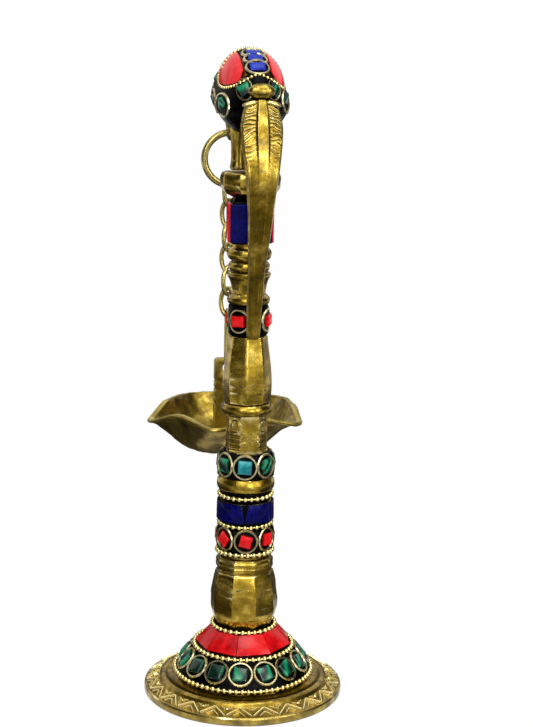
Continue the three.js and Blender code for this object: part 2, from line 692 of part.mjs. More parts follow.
piece('upper_stone_band', stoneBand([[8.1, 151.2], [8.1, 163.3]], 6.5, 6, 8.1, 157.2, 38, 0.93),
  redStone());
piece('cup_casting', cupCasting(), brass());
['right', 'front', 'left', 'back'].forEach((side, index) => {
  const quarter = { right: 0, back: 1, left: 2, front: 3 }[side];
  piece(`neck_slab_${side}`, neckSlab(quarter, index % 2 ? slab.wide : slab.narrow),
    index % 2 ? blueStone() : redStone());
});
piece('perch_cup', perchCup(), brass());
piece('peacock_casting', peacockCasting(), brass());
piece('flank_panel_right', flankPanel(1), redStone());
piece('flank_panel_left', flankPanel(-1), redStone());
piece('back_stone_strip', backStrip(), blueStone());
piece('body_lac_bed', bodyBed(), blackLac());
piece('saddle_bead_wire', saddleWire(), wireBrass());
piece('tail', tail(), brass());
piece('hanging_ring', hangingRing(), brass());
for (let i = 0; i < link.count; i += 1) piece(`chain_link_${i + 1}`, chainLink(i), wireBrass());
piece('hook_loop', hookLoop(), wireBrass());
piece('oil_bowl', oilBowl(), brass());

export default lamp;
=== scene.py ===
# Peacock oil lamp with stand. Lengths in the dictionaries are millimetres, angles are degrees.
# +Z up, the column's axis on Z, the bird's head towards -Y and its tail towards +Y.
import bpy
import math
import random
from mathutils import Matrix, Vector


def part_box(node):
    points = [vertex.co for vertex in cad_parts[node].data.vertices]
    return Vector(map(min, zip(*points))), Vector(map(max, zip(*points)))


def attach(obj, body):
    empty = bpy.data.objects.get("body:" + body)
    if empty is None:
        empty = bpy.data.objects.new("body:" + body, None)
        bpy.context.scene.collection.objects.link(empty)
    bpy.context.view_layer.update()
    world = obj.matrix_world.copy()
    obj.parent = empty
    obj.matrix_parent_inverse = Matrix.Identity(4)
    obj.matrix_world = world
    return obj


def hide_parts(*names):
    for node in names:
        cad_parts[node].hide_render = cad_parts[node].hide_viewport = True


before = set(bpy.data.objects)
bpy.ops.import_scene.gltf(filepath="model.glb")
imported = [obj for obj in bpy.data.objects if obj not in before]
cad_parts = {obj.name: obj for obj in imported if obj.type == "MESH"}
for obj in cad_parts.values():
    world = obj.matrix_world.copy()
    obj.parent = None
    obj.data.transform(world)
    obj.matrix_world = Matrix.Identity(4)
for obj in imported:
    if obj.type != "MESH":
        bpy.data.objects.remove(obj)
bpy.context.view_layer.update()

mm = 0.001
chance = random.Random(11)      # the hand's small differences, the same on each run
lampY = (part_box("hanging_ring")[0].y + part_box("hanging_ring")[1].y) / 2 / mm


# Working with Blender's operators

def letGo():
    if bpy.context.object and bpy.context.object.mode != "OBJECT":
        bpy.ops.object.mode_set(mode="OBJECT")
    bpy.ops.object.select_all(action="DESELECT")


def pick(*pieces):
    letGo()
    for piece in pieces:
        piece.select_set(True)
    bpy.context.view_layer.objects.active = pieces[0]


def editAll(piece):
    pick(piece)
    bpy.ops.object.mode_set(mode="EDIT")
    bpy.ops.mesh.select_mode(type="VERT")
    bpy.ops.mesh.select_all(action="SELECT")


def choose(piece, kind, test):    # leaves the piece in edit mode, what passes the test selected
    pick(piece)
    bpy.ops.object.mode_set(mode="EDIT")
    bpy.ops.mesh.select_mode(type=kind)
    bpy.ops.mesh.select_all(action="DESELECT")
    bpy.ops.object.mode_set(mode="OBJECT")
    mesh = piece.data
    for item in {"VERT": mesh.vertices, "EDGE": mesh.edges, "FACE": mesh.polygons}[kind]:
        item.select = test(item)
    bpy.ops.object.mode_set(mode="EDIT")


def movePoints(piece, test, step):
    choose(piece, "VERT", lambda point: test(point.co / mm))
    bpy.ops.transform.translate(value=Vector(step) * mm)
    letGo()


def raisedFace(piece, direction, inset, rise):    # a narrower face a little above the old one
    choose(piece, "FACE", lambda face: face.normal.dot(Vector(direction)) > 0.9)
    bpy.ops.mesh.inset(thickness=inset * mm, depth=0)
    bpy.ops.transform.translate(value=Vector(direction) * rise * mm)
    letGo()


def closeUp(piece):               # merges doubled points and turns every face outwards
    editAll(piece)
    bpy.ops.mesh.remove_doubles(threshold=0.002 * mm)
    bpy.ops.mesh.normals_make_consistent(inside=False)
    letGo()


def applied(piece, kind, **settings):
    pick(piece)
    step = piece.modifiers.new("step", kind)
    for key, value in settings.items():
        setattr(step, key, value)
    bpy.ops.object.modifier_apply(modifier="step")
    return piece


def bevelled(piece, width, segments=2, angle=30):
    return applied(piece, "BEVEL", width=width * mm, segments=segments, limit_method="ANGLE",
                   angle_limit=math.radians(angle))


def uneven(piece, size, depth, level=0.5):    # shallow waves and dents of about this size
    texture = bpy.data.textures.new("handWaves", "CLOUDS")
    texture.noise_scale = size * mm
    return applied(piece, "DISPLACE", texture=texture, strength=depth * mm, mid_level=level,
                   texture_coords="LOCAL")


def settled(piece):               # place, turn and size go into the mesh
    pick(piece)
    bpy.ops.object.transform_apply(location=True, rotation=True, scale=True)
    return piece


def placed(piece, place=(0, 0, 0), turn=0.0, axis="Z"):
    piece.matrix_world = (Matrix.Translation(Vector(place) * mm)
                          @ Matrix.Rotation(math.radians(turn), 4, axis))
    return settled(piece)


def joined(pieces):
    pick(*pieces)
    bpy.ops.object.transform_apply(location=True, rotation=True, scale=True)
    if len(pieces) > 1:
        bpy.ops.object.join()
    return bpy.context.object


def copyOf(piece):
    copy = piece.copy()
    copy.data = piece.data.copy()
    bpy.context.scene.collection.objects.link(copy)
    return copy


def discard(*pieces):
    for piece in pieces:
        bpy.data.objects.remove(piece)


def cutAway(piece, cutter):
    applied(piece, "BOOLEAN", operation="DIFFERENCE", object=cutter, solver="EXACT")
    discard(cutter)
    return piece


# Starting shapes, in millimetres

def block(size, place=(0, 0, 0)):
    letGo()
    bpy.ops.mesh.primitive_cube_add(size=1, location=Vector(place) * mm)
    bpy.context.object.scale = Vector(size) * mm
    return settled(bpy.context.object)


def ball(place, size, segments=24, rings=14):
    letGo()
    bpy.ops.mesh.primitive_uv_sphere_add(segments=segments, ring_count=rings, radius=1)
    piece = bpy.context.object
    piece.matrix_world = Matrix.LocRotScale(Vector(place) * mm, None, Vector(size) * mm)
    return settled(piece)


def wireRing(radius, wire, steps, sides, place=(0, 0, 0), upright=False):
    letGo()
    bpy.ops.mesh.primitive_torus_add(major_radius=radius * mm, minor_radius=wire * mm,
                                     major_segments=steps, minor_segments=sides,
                                     location=Vector(place) * mm,
                                     rotation=(math.pi / 2 if upright else 0, 0, 0))
    return settled(bpy.context.object)


def drill(radius, length, place, rotation):
    letGo()
    bpy.ops.mesh.primitive_cylinder_add(vertices=32, radius=radius * mm, depth=length * mm,
                                        location=Vector(place) * mm, rotation=rotation)
    return settled(bpy.context.object)


def eased(points, steps):         # a smooth curve through points, as short straight stretches
    ends = [points[0], *points, points[-1]]
    curve = []
    for i in range(1, len(ends) - 2):
        a, b, c, d = (Vector(p) for p in ends[i - 1:i + 3])
        for k in range(steps):
            t = k / steps
            curve.append(0.5 * (2 * b + (c - a) * t + (2 * a - 5 * b + 4 * c - d) * t ** 2
                                + (3 * b - a - 3 * c + d) * t ** 3))
    return [tuple(p) for p in curve] + [tuple(points[-1])]


def alongCurve(curve, share, reach):      # a point of a curve, and the way the curve goes there
    at = share * (len(curve) - 1)
    i = min(int(at), len(curve) - 2)
    here = Vector(curve[i]).lerp(Vector(curve[i + 1]), at - i)
    before, after = curve[max(i + 1 - reach, 0)], curve[min(i + reach, len(curve) - 1)]
    return here, Vector((after[0] - before[0], after[1] - before[1])).normalized()


# A profile of [radius, height] pairs drawn by extruding one point, then spun about the column
def turned(profile, steps=96, soften=0.0, sweep=360.0):
    letGo()
    bpy.ops.mesh.primitive_plane_add(size=mm)
    piece = bpy.context.object
    editAll(piece)
    bpy.ops.mesh.merge(type="CENTER")
    bpy.ops.transform.translate(value=(profile[0][0] * mm, 0, profile[0][1] * mm))
    for (r0, z0), (r1, z1) in zip(profile, profile[1:]):
        step = ((r1 - r0) * mm, 0, (z1 - z0) * mm)
        bpy.ops.mesh.extrude_region_move(TRANSFORM_OT_translate={"value": step})
    bpy.ops.mesh.select_all(action="SELECT")
    bpy.ops.mesh.remove_doubles(threshold=0.001 * mm)
    if soften:
        bpy.ops.mesh.bevel(offset=soften * mm, segments=2, affect="VERTICES", clamp_overlap=True)
    if sweep < 360:               # a closed outline becomes a face, and the spin a solid slice
        bpy.ops.mesh.select_all(action="SELECT")
        bpy.ops.mesh.edge_face_add()
    bpy.ops.mesh.select_all(action="SELECT")
    bpy.ops.mesh.spin(steps=steps, angle=math.radians(sweep), center=(0, 0, 0), axis=(0, 0, 1))
    closeUp(piece)
    return piece


# A grid whose points are moved to surface(u, v), with u and v from 0 to 1
def shapedGrid(countU, countV, surface, ends=False):
    letGo()
    bpy.ops.mesh.primitive_grid_add(x_subdivisions=countU, y_subdivisions=countV, size=1)
    piece = bpy.context.object
    for point in piece.data.vertices:
        point.co = Vector(surface(point.co.x + 0.5, point.co.y + 0.5)) * mm
    closeUp(piece)
    if ends:
        editAll(piece)
        bpy.ops.mesh.fill_holes(sides=0)
        bpy.ops.mesh.normals_make_consistent(inside=False)
        letGo()
    return piece


def around(piece, count):         # copies of a piece about the column, made by one spin
    editAll(piece)
    bpy.ops.mesh.spin(steps=count - 1, dupli=True, angle=math.radians(360 * (count - 1) / count),
                      center=(0, 0, 0), axis=(0, 0, 1))
    letGo()
    return piece


def facing(direction):            # the turn that takes +Z to a direction and keeps its X level
    out = Vector(direction).normalized()
    level = Vector((-out.y, out.x, 0))
    level = level.normalized() if level.length > 1e-6 else Vector((1, 0, 0))
    return Matrix((level, out.cross(level), out)).transposed().to_4x4()


def setOn(template, point, direction, spin=0.0, size=1.0):
    copy = copyOf(template)
    copy.matrix_world = (Matrix.Translation(Vector(point) * mm) @ facing(direction)
                         @ Matrix.Rotation(math.radians(spin), 4, "Z") @ Matrix.Scale(size, 4))
    return copy


def wrapOn(template, surface):    # bends a copy on to surface(across, up, height) in millimetres
    copy = copyOf(template)
    for point in copy.data.vertices:
        point.co = Vector(surface(*(point.co / mm))) * mm
    return copy


# A filed facet: a slanted plane takes the outside off, as a file does
def filed(piece, azimuth, radius, height, slope):
    a = math.radians(azimuth)
    s = math.radians(slope)
    out = Vector((math.cos(a) * math.cos(s), math.sin(a) * math.cos(s), math.sin(s)))
    editAll(piece)
    bpy.ops.mesh.bisect(plane_co=Vector((math.cos(a) * radius, math.sin(a) * radius, height)) * mm,
                        plane_no=out, clear_outer=True, use_fill=True)
    letGo()


def fileMarks(spots, length=3.2):     # thin lens-shaped cutters for a graver's nicks
    mark = ball((0, 0, 0), (length / 2, 0.22, 0.5), 10, 6)
    marks = []
    for azimuth, radius, height, tilt in spots:
        a = math.radians(azimuth)
        out = (math.cos(a), math.sin(a), 0)
        marks.append(setOn(mark, (radius * out[0], radius * out[1], height), out, tilt))
    discard(mark)
    return joined(marks)


# Materials

def hexColor(code):
    channels = [int(code[i:i + 2], 16) / 255 for i in (1, 3, 5)]
    return [c / 12.92 if c <= 0.04045 else ((c + 0.055) / 1.055) ** 2.4 for c in channels] + [1.0]


def addNode(material, kind, inputs=None, stops=None, **settings):
    node = material.node_tree.nodes.new(kind)
    for key, value in settings.items():
        setattr(node, key, value)
    for key, value in (inputs or {}).items():
        if isinstance(value, bpy.types.NodeSocket):
            material.node_tree.links.new(value, node.inputs[key])
        else:
            node.inputs[key].default_value = value
    if stops:
        ramp = node.color_ramp.elements
        while len(ramp) < len(stops):
            ramp.new(0.5)
        for element, (position, color) in zip(ramp, stops):
            element.position = position
            element.color = hexColor(color)
    return node


def newMaterial(name, **shaderValues):
    material = bpy.data.materials.new(name)
    material.use_nodes = True
    shader = material.node_tree.nodes["Principled BSDF"]
    for key, value in shaderValues.items():
        shader.inputs[key.replace("_", " ")].default_value = value
    place = addNode(material, "ShaderNodeTexCoord").outputs["Object"]
    return material, shader, place


def perMetre(size):               # a texture's scale for a feature of this many millimetres
    return 1 / (size * mm)


# Cast yellow brass, filed and hand polished, then aged, with fine file strokes and the faint grain
# of the sand it was cast in. Its sharp edges are painted pale, partly rubbed wear and partly
# painted highlight, and its hollows are painted dark brown, partly tarnish and partly painted
# shade.
# A thin clear lacquer over it gives the pale, sharp lights
brass = {"dark": "#483b09", "middle": "#876d1d", "bright": "#c0a548", "edge": "#f2e4a4",
         "tarnish": "#251a05", "patch": 3, "hollow": 0.8, "rough": 0.26, "strokes": (1, 1, 1),
         "grain": 0.2, "brush": 0.2}


def castBrass(name, **changes):
    look = {**brass, **changes}
    material, shader, place = newMaterial(name, Metallic=1.0, Coat_Weight=0.15,
                                          Coat_Roughness=0.14)
    link = material.node_tree.links.new
    patches = addNode(material, "ShaderNodeTexNoise", {
        "Vector": place, "Scale": perMetre(look["patch"]), "Detail": 5, "Roughness": 0.62})
    tone = addNode(material, "ShaderNodeValToRGB", {"Fac": patches.outputs["Fac"]}, stops=[
        (0.30, look["dark"]), (0.50, look["middle"]), (0.72, look["bright"])])
    # painted shade: ambient occlusion darkens the hollows to a dark brown, partly tarnish and
    # partly painted shade
    hollow = addNode(material, "ShaderNodeAmbientOcclusion", {"Distance": look["hollow"] * mm},
                     samples=8)
    kept = addNode(material, "ShaderNodeMapRange", {
        "Value": hollow.outputs["AO"], "From Min": 0.25, "From Max": 0.82,
        "To Min": 1.0, "To Max": 0.0})
    tarnishedAndShaded = addNode(material, "ShaderNodeMix", {
        0: kept.outputs[0], 6: tone.outputs["Color"], 7: hexColor(look["tarnish"])},
        data_type="RGBA")
    # painted highlight: pointiness paints sharp convex edges pale, partly rubbed wear and partly
    # painted highlight
    edge = addNode(material, "ShaderNodeNewGeometry")
    edgeWearAndHighlight = addNode(material, "ShaderNodeMapRange", {
        "Value": edge.outputs["Pointiness"], "From Min": 0.51, "From Max": 0.60})
    wornAndHighlitColor = addNode(material, "ShaderNodeMix", {
        0: edgeWearAndHighlight.outputs[0], 6: tarnishedAndShaded.outputs[2], 7: hexColor(look["edge"])}, data_type="RGBA")
    link(wornAndHighlitColor.outputs[2], shader.inputs["Base Color"])
    stretched = addNode(material, "ShaderNodeMapping", {
        "Vector": place, "Scale": look["strokes"]})
    strokes = addNode(material, "ShaderNodeTexNoise", {
        "Vector": stretched.outputs[0], "Scale": perMetre(0.5), "Detail": 3})
    sand = addNode(material, "ShaderNodeTexNoise", {
        "Vector": place, "Scale": perMetre(0.55), "Detail": 2})
    dull = addNode(material, "ShaderNodeMapRange", {
        "Value": patches.outputs["Fac"], "From Min": 0.3, "From Max": 0.7,
        "To Min": look["rough"] + 0.12, "To Max": look["rough"] - 0.06})
    dusty = addNode(material, "ShaderNodeMath", {0: kept.outputs[0], 1: 0.25},
                    operation="MULTIPLY")
    rough = addNode(material, "ShaderNodeMath", {0: dull.outputs[0], 1: dusty.outputs[0]},
                    operation="ADD")
    link(rough.outputs[0], shader.inputs["Roughness"])
    grain = addNode(material, "ShaderNodeBump", {
        "Height": sand.outputs["Fac"], "Strength": look["grain"], "Distance": 0.08 * mm})
    brushed = addNode(material, "ShaderNodeBump", {
        "Height": strokes.outputs["Fac"], "Strength": look["brush"], "Distance": 0.06 * mm,
        "Normal": grain.outputs[0]})
    dents = addNode(material, "ShaderNodeBump", {
        "Height": patches.outputs["Fac"], "Strength": 0.25, "Distance": 0.5 * mm,
        "Normal": brushed.outputs[0]})
    link(dents.outputs[0], shader.inputs["Normal"])
    return material


turnedBrass = castBrass("castBrassTurned", dark="#55450b", middle="#9c8026", bright="#d8bd5c",
                        patch=7, hollow=2.2, rough=0.25, strokes=(1, 1, 0.12), grain=0.5,
                        brush=0.5)
carvedBrass = castBrass("castBrassChased", patch=5, hollow=1.4, rough=0.28, strokes=(1, 0.3, 0.3),
                        grain=0.6, brush=0.35)
# painted shade: the long hollow reach darkens much of the bowl's inside, partly tarnish and partly
# painted shade
bowlBrass = castBrass("castBrassSandy", dark="#4c3d0a", middle="#806a1e", edge="#c8b25c",
                      patch=7, hollow=6.0, rough=0.36, grain=1.0, brush=0.3)
# Beaded wire is a yellower alloy, and its beads stay bright from handling
goldWire = castBrass("beadedBrassWire", dark="#6f5510", middle="#b08f2c", bright="#d8ba4c",
                     edge="#f4e39c", tarnish="#241806", rough=0.22)
# The bezels are a paler drawn wire, greyed by the polishing wheel
paleWire = castBrass("drawnBezelWire", dark="#837850", middle="#b8ac80", bright="#e0d7b2",
                     edge="#f8f2dc", tarnish="#2a2210")
chainWire = castBrass("bentBrassWire", dark="#5d4c0e", middle="#927b24", bright="#c6ae4c",
                      edge="#efe09a", tarnish="#2a1f08", hollow=1.4, rough=0.27,
                      strokes=(1, 1, 0.2), grain=0.25, brush=0.3)


# Inlay in lac: a dense chip, ground flat and polished, with veins, small pits and a waxy gloss
def polishedChip(name, **look):
    material, shader, place = newMaterial(name, IOR=1.54, Specular_IOR_Level=look["gloss"])
    link = material.node_tree.links.new
    clouds = addNode(material, "ShaderNodeTexNoise", {
        "Vector": place, "Scale": perMetre(look["cloud"]), "Detail": 6, "Roughness": 0.65,
        "Distortion": 1.2})
    bands = addNode(material, "ShaderNodeTexWave", {
        "Vector": place, "Scale": perMetre(look["band"]) / 6.28, "Distortion": 7, "Detail": 3,
        "Detail Scale": 0.8}, bands_direction="DIAGONAL")
    veined = addNode(material, "ShaderNodeMix", {
        0: look["veins"], 2: clouds.outputs["Fac"], 3: bands.outputs["Fac"]}, data_type="FLOAT")
    color = addNode(material, "ShaderNodeValToRGB", {"Fac": veined.outputs[0]}, stops=[
        (0.25, look["dark"]), (0.5, look["middle"]), (0.78, look["bright"])])
    link(color.outputs["Color"], shader.inputs["Base Color"])
    scuff = addNode(material, "ShaderNodeMapRange", {
        "Value": clouds.outputs["Fac"], "From Min": 0.35, "From Max": 0.7,
        "To Min": 0.14, "To Max": 0.34})
    link(scuff.outputs[0], shader.inputs["Roughness"])
    pits = addNode(material, "ShaderNodeBump", {
        "Height": clouds.outputs["Fac"], "Strength": 0.3, "Distance": 0.12 * mm})
    link(pits.outputs[0], shader.inputs["Normal"])
    return material


redChip = polishedChip("redInlay", cloud=4, band=6, veins=0.15, gloss=0.2,
                       dark="#7e0206", middle="#b8060c", bright="#d01418")
coralChip = polishedChip("coralInlay", cloud=6, band=9, veins=0.15, gloss=0.12,
                         dark="#b01418", middle="#d02a2e", bright="#e04a48")
navyChip = polishedChip("navyInlay", cloud=4, band=5, veins=0.1, gloss=0.06,
                        dark="#010116", middle="#02023c", bright="#060860")
royalChip = polishedChip("royalBlueInlay", cloud=3, band=4, veins=0.2, gloss=0.12,
                         dark="#08105c", middle="#122088", bright="#2440b0")
greenChip = polishedChip("malachiteInlay", cloud=3, band=1.6, veins=0.55, gloss=0.4,
                         dark="#011a12", middle="#023c28", bright="#0a7850")
tealChip = polishedChip("tealInlay", cloud=4, band=3, veins=0.3, gloss=0.4,
                        dark="#034046", middle="#066a70", bright="#2a9494")


# Black shellac filling, poured hot and scraped level, so it is glossy with dull scraped places
def lacFilling():
    material, shader, place = newMaterial("blackLac", IOR=1.5, Specular_IOR_Level=0.04)
    link = material.node_tree.links.new
    scrape = addNode(material, "ShaderNodeTexNoise", {
        "Vector": place, "Scale": perMetre(1.6), "Detail": 6, "Roughness": 0.7})
    color = addNode(material, "ShaderNodeValToRGB", {"Fac": scrape.outputs["Fac"]}, stops=[
        (0.5, "#010101"), (0.72, "#060505"), (0.88, "#1c1812")])
    link(color.outputs["Color"], shader.inputs["Base Color"])
    dull = addNode(material, "ShaderNodeMapRange", {
        "Value": scrape.outputs["Fac"], "From Min": 0.4, "From Max": 0.7,
        "To Min": 0.22, "To Max": 0.6})
    link(dull.outputs[0], shader.inputs["Roughness"])
    lumps = addNode(material, "ShaderNodeBump", {
        "Height": scrape.outputs["Fac"], "Strength": 0.5, "Distance": 0.2 * mm})
    link(lumps.outputs[0], shader.inputs["Normal"])
    return material


blackLac = lacFilling()


def seated(piece, name, material, nodes=(), body="stand", angle=40):
    settled(piece)
    bpy.ops.object.shade_smooth_by_angle(angle=math.radians(angle))
    piece.name = name
    piece.data.name = name
    piece.data.materials.clear()
    piece.data.materials.append(material)
    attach(piece, body)
    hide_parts(*nodes)


# A piece with flat sides: the outline is spun in as many steps, with one flat's middle at an angle
def flatSided(outline, count, middle, bevel):
    reach = 1 / math.cos(math.pi / count)
    piece = turned([(r * reach, z) for r, z in outline], count)
    return bevelled(placed(piece, turn=middle - 180 / count), bevel, 3)


# Templates for what repeats: a wire bezel, and a square chip with a flat table and ground edges

bezel = {"radius": 4.72, "wire": 0.54, "stone": 5.9, "rise": 1.3, "table": 0.12, "crown": 0.34,
         "ground": 0.22}
ringTemplate = wireRing(bezel["radius"], bezel["wire"], 32, 6)
stoneTemplate = block((bezel["stone"], bezel["stone"], 2 * bezel["rise"]))
raisedFace(stoneTemplate, (0, 0, 1), bezel["table"] * bezel["stone"],
           bezel["crown"] * bezel["rise"])
bevelled(stoneTemplate, bezel["ground"], 1)


def stonesInRings(places, surface, size=1.0, sink=0.5, cut=(1, 1)):    # places: [spot, turn]
    rings = []
    stones = []
    for spot, spin in places:
        def near(across, up, height, at=spot):
            return surface(at, across * size, up * size, height)
        rings.append(wrapOn(ringTemplate, near))
        middle = Vector(near(0, 0, -sink))
        direction = Vector(near(0, 0, 1)) - Vector(near(0, 0, 0))
        stone = setOn(stoneTemplate, middle, direction, spin, size * chance.uniform(0.95, 1.04))
        stone.matrix_world = stone.matrix_world @ Matrix.Diagonal((*cut, 1, 1))
        stones.append(stone)
    return joined(rings), stones


# Foot: rim disc, conical ornament band, bright ridge, valley and dome

foot = {
    "profile": [(0, 0), (15, 0), (16, 2.5), (34, 2.5), (35, 0), (40.7, 0), (41.25, 0.6),
                (41.25, 2.75), (40.95, 3.4), (40.35, 3.6), (40.0, 3.45), (35.5, 5.55), (35.1, 6.1),
                (34.7, 6.75), (34.0, 7.2), (33.0, 7.4), (32.2, 7.15), (31.6, 6.75), (30.6, 6.5),
                (29.6, 6.55), (28.6, 6.95), (27.6, 7.4), (26.7, 10.8), (12.0, 27.6), (3.3, 27.6),
                (3.3, 4), (0, 4)],
    "cells": 23, "outer": 40.0, "inner": 35.4, "outerZ": 3.45, "innerZ": 5.6, "border": 0.2,
    "line": 1.15, "rise": 0.8, "dot": 0.5,
    # a stroke's two ends as shares of the band's depth and of a cell, then its width and rise
    "strokes": [((0, 0.5), (1, 0), 1, 1), ((0, 0.24), (0.52, 0), 0.62, 0.85),
                ((1, 0.248), (0.85, 0.36), 0.5, 0.7), ((1, 0.3632), (0.69, 0.424), 0.5, 0.7)],
}
slope = math.degrees(math.atan2(foot["innerZ"] - foot["outerZ"], foot["outer"] - foot["inner"]))


def raisedLine(start, end, width, rise):        # a roof-shaped bar on the ornament band
    a, b = Vector(start), Vector(end)
    bar = block(((b - a).length, width, 2 * rise))
    choose(bar, "VERT", lambda point: point.co.z > 0)
    bpy.ops.transform.resize(value=(0.94, 0.35, 1), center_override=(0, 0, 0))
    letGo()
    middle = (a + b) / 2
    share = (foot["outer"] - middle.x) / (foot["outer"] - foot["inner"])
    height = foot["outerZ"] + share * (foot["innerZ"] - foot["outerZ"])
    along = math.degrees(math.atan2((b - a).y, (b - a).x))
    return placed(placed(bar, turn=along), (middle.x, middle.y, height), slope, "Y")


def ornamentCell():               # two zigzags, hatching and a dot, each stroke on both sides
    pitch = math.pi * (foot["outer"] + foot["inner"]) / foot["cells"]
    low, high = foot["outer"] - foot["border"], foot["inner"] + foot["border"]
    bars = []
    for start, end, width, rise in foot["strokes"]:
        for side in (-1, 1):
            ends = [(low + (high - low) * deep, side * pitch * across)
                    for deep, across in (start, end)]
            bars.append(raisedLine(*ends, width * foot["line"], rise * foot["rise"]))
    letGo()
    bpy.ops.mesh.primitive_ico_sphere_add(subdivisions=1, radius=foot["dot"] * mm, location=Vector(
        (high + 0.9, pitch / 2, foot["innerZ"] - 0.3)) * mm)
    return joined([*bars, bpy.context.object])


foundry = turned(foot["profile"], 144, 0.12)
foundry = joined([foundry, around(ornamentCell(), foot["cells"])])
seated(foundry, "footCasting", carvedBrass, ["base_casting"])
print("foot cast")


# Dome: lac bed, stones in rings, flat plates and beaded wires

dome = {"slope": 1.15, "footRadius": 26.7, "footZ": 10.8, "stoneRadius": 23.6, "stones": 15,
        "start": 6, "bed": 1.2, "plateLow": 18.1, "plateHigh": 12.4, "plateTop": 1.15, "gap": 0.75,
        "joints": [72, 115, 155, 195, 234, 274, 313, 353, 392, 432],
        "nodes": [(4,), (5,), (6,), (7, 8), (9,), (10,), (11,), (1,), (2, 3)]}
domeTilt = math.atan(dome["slope"])


def onDome(radius, angle, height):
    r = radius + height * math.sin(domeTilt)
    z = dome["footZ"] + dome["slope"] * (dome["footRadius"] - radius) + height * math.cos(domeTilt)
    return (r * math.cos(angle), r * math.sin(angle), z)


def domePoint(radius, height):
    x, _, z = onDome(radius, 0, height)
    return (x, z)


def domeSurface(angle, across, up, height):     # each ring lies flat on its own small panel
    radius = dome["stoneRadius"] - up * math.cos(domeTilt)
    x, _, z = onDome(radius, 0, height + dome["bed"])
    side = Vector((-math.sin(angle), math.cos(angle), 0)) * -across
    return Vector((x * math.cos(angle), x * math.sin(angle), z)) + side


skirt = [(27.7, 7.6), (28.3, 8.4), (28.3, 9.6), domePoint(26.6, 0.8), domePoint(26.2, 1.15),
         domePoint(21.1, 1.15), domePoint(20.6, 0.4), domePoint(20.6, -0.5), domePoint(26.4, -0.5),
         (27.0, 8.4), (27.7, 7.6)]
seated(flatSided(skirt, dome["stones"], dome["start"], 0.3), "domeLac", blackLac,
       ["dome_stone_band"])
underPlates = [domePoint(20.9, -0.6), domePoint(20.9, 0.25), domePoint(12.4, 0.35), (12.3, 28.2),
               (9.6, 28.2), (9.6, 27.0), domePoint(12.4, -0.6), domePoint(20.9, -0.6)]
seated(turned(underPlates, 96, 0.08), "lacUnderPlates", blackLac)
domeTurns = [-20, 8, 0, -6, 12, 18, -12, 4, 10, -25, 15, 0, 22, -8, 5]
domePlaces = [(math.radians(dome["start"] + 360 * i / dome["stones"]), turn)
              for i, turn in enumerate(domeTurns)]
domeRings, domeStones = stonesInRings(domePlaces, domeSurface)
seated(domeRings, "domeBezels", paleWire, ["dome_stone_band"])
seated(joined(domeStones), "domeStones", greenChip, ["dome_stone_band"], angle=20)

plateOutline = [domePoint(dome["plateLow"], 0.3), domePoint(dome["plateLow"], dome["plateTop"]),
                domePoint(dome["plateHigh"], dome["plateTop"]), domePoint(dome["plateHigh"], 0.3),
                domePoint(dome["plateLow"], 0.3)]
for i, (start, end) in enumerate(zip(dome["joints"], dome["joints"][1:])):
    sweep = end - start - dome["gap"]
    reach = 1 / math.cos(math.radians(sweep / 2))
    plate = turned([(r * reach, z) for r, z in plateOutline], 1, sweep=sweep)
    bevelled(placed(plate, turn=sweep / 2), 0.2, 2, 40)       # the spin runs backwards
    placed(plate, (0, 0, chance.uniform(-0.12, 0.08)), (start + end) / 2)
    seated(plate, f"domePlate{i + 1}", redChip, [f"dome_red_plate_{k}" for k in dome["nodes"][i]],
           angle=30)
print("dome inlaid")


# Beaded wire: solder-like beads on a thin wire, each row at its radius, height, tilt and the
# direction of the line that it is tilted about

beads = {"radius": 1.05, "neck": 0.45, "pitch": 2.5}
beadRows = {"dome_bead_wire_lower": (28.5, 9.9, -1.2, 0),
            "dome_bead_wire_middle": (20.4, 20.1, -1.0, 0),
            "dome_bead_wire_upper": (12.9, 28.9, -1.5, 0),
            "column_bead_wire_lower": (11.4, 61.0, 1.2, 20),
            "column_bead_wire_middle": (10.7, 72.9, 0.8, 150),
            "column_bead_wire_upper": (10.7, 85.0, 2.2, 160)}


def bead(place, radius):
    return ball(place, (radius, radius, radius), 10, 6)


for node, (radius, height, tilt, towards) in beadRows.items():
    count = round(2 * math.pi * radius / beads["pitch"])
    wire = joined([around(bead((radius, 0, 0), beads["radius"]), count),
                   wireRing(radius, beads["neck"], 2 * count, 6)])
    line = Vector((math.cos(math.radians(towards)), math.sin(math.radians(towards)), 0))
    placed(wire, (0, 0, height), tilt, line)
    seated(wire, node.title().replace("_", ""), goldWire, [node], angle=70)
print("beaded wires laid")


# Column, from the foot upwards

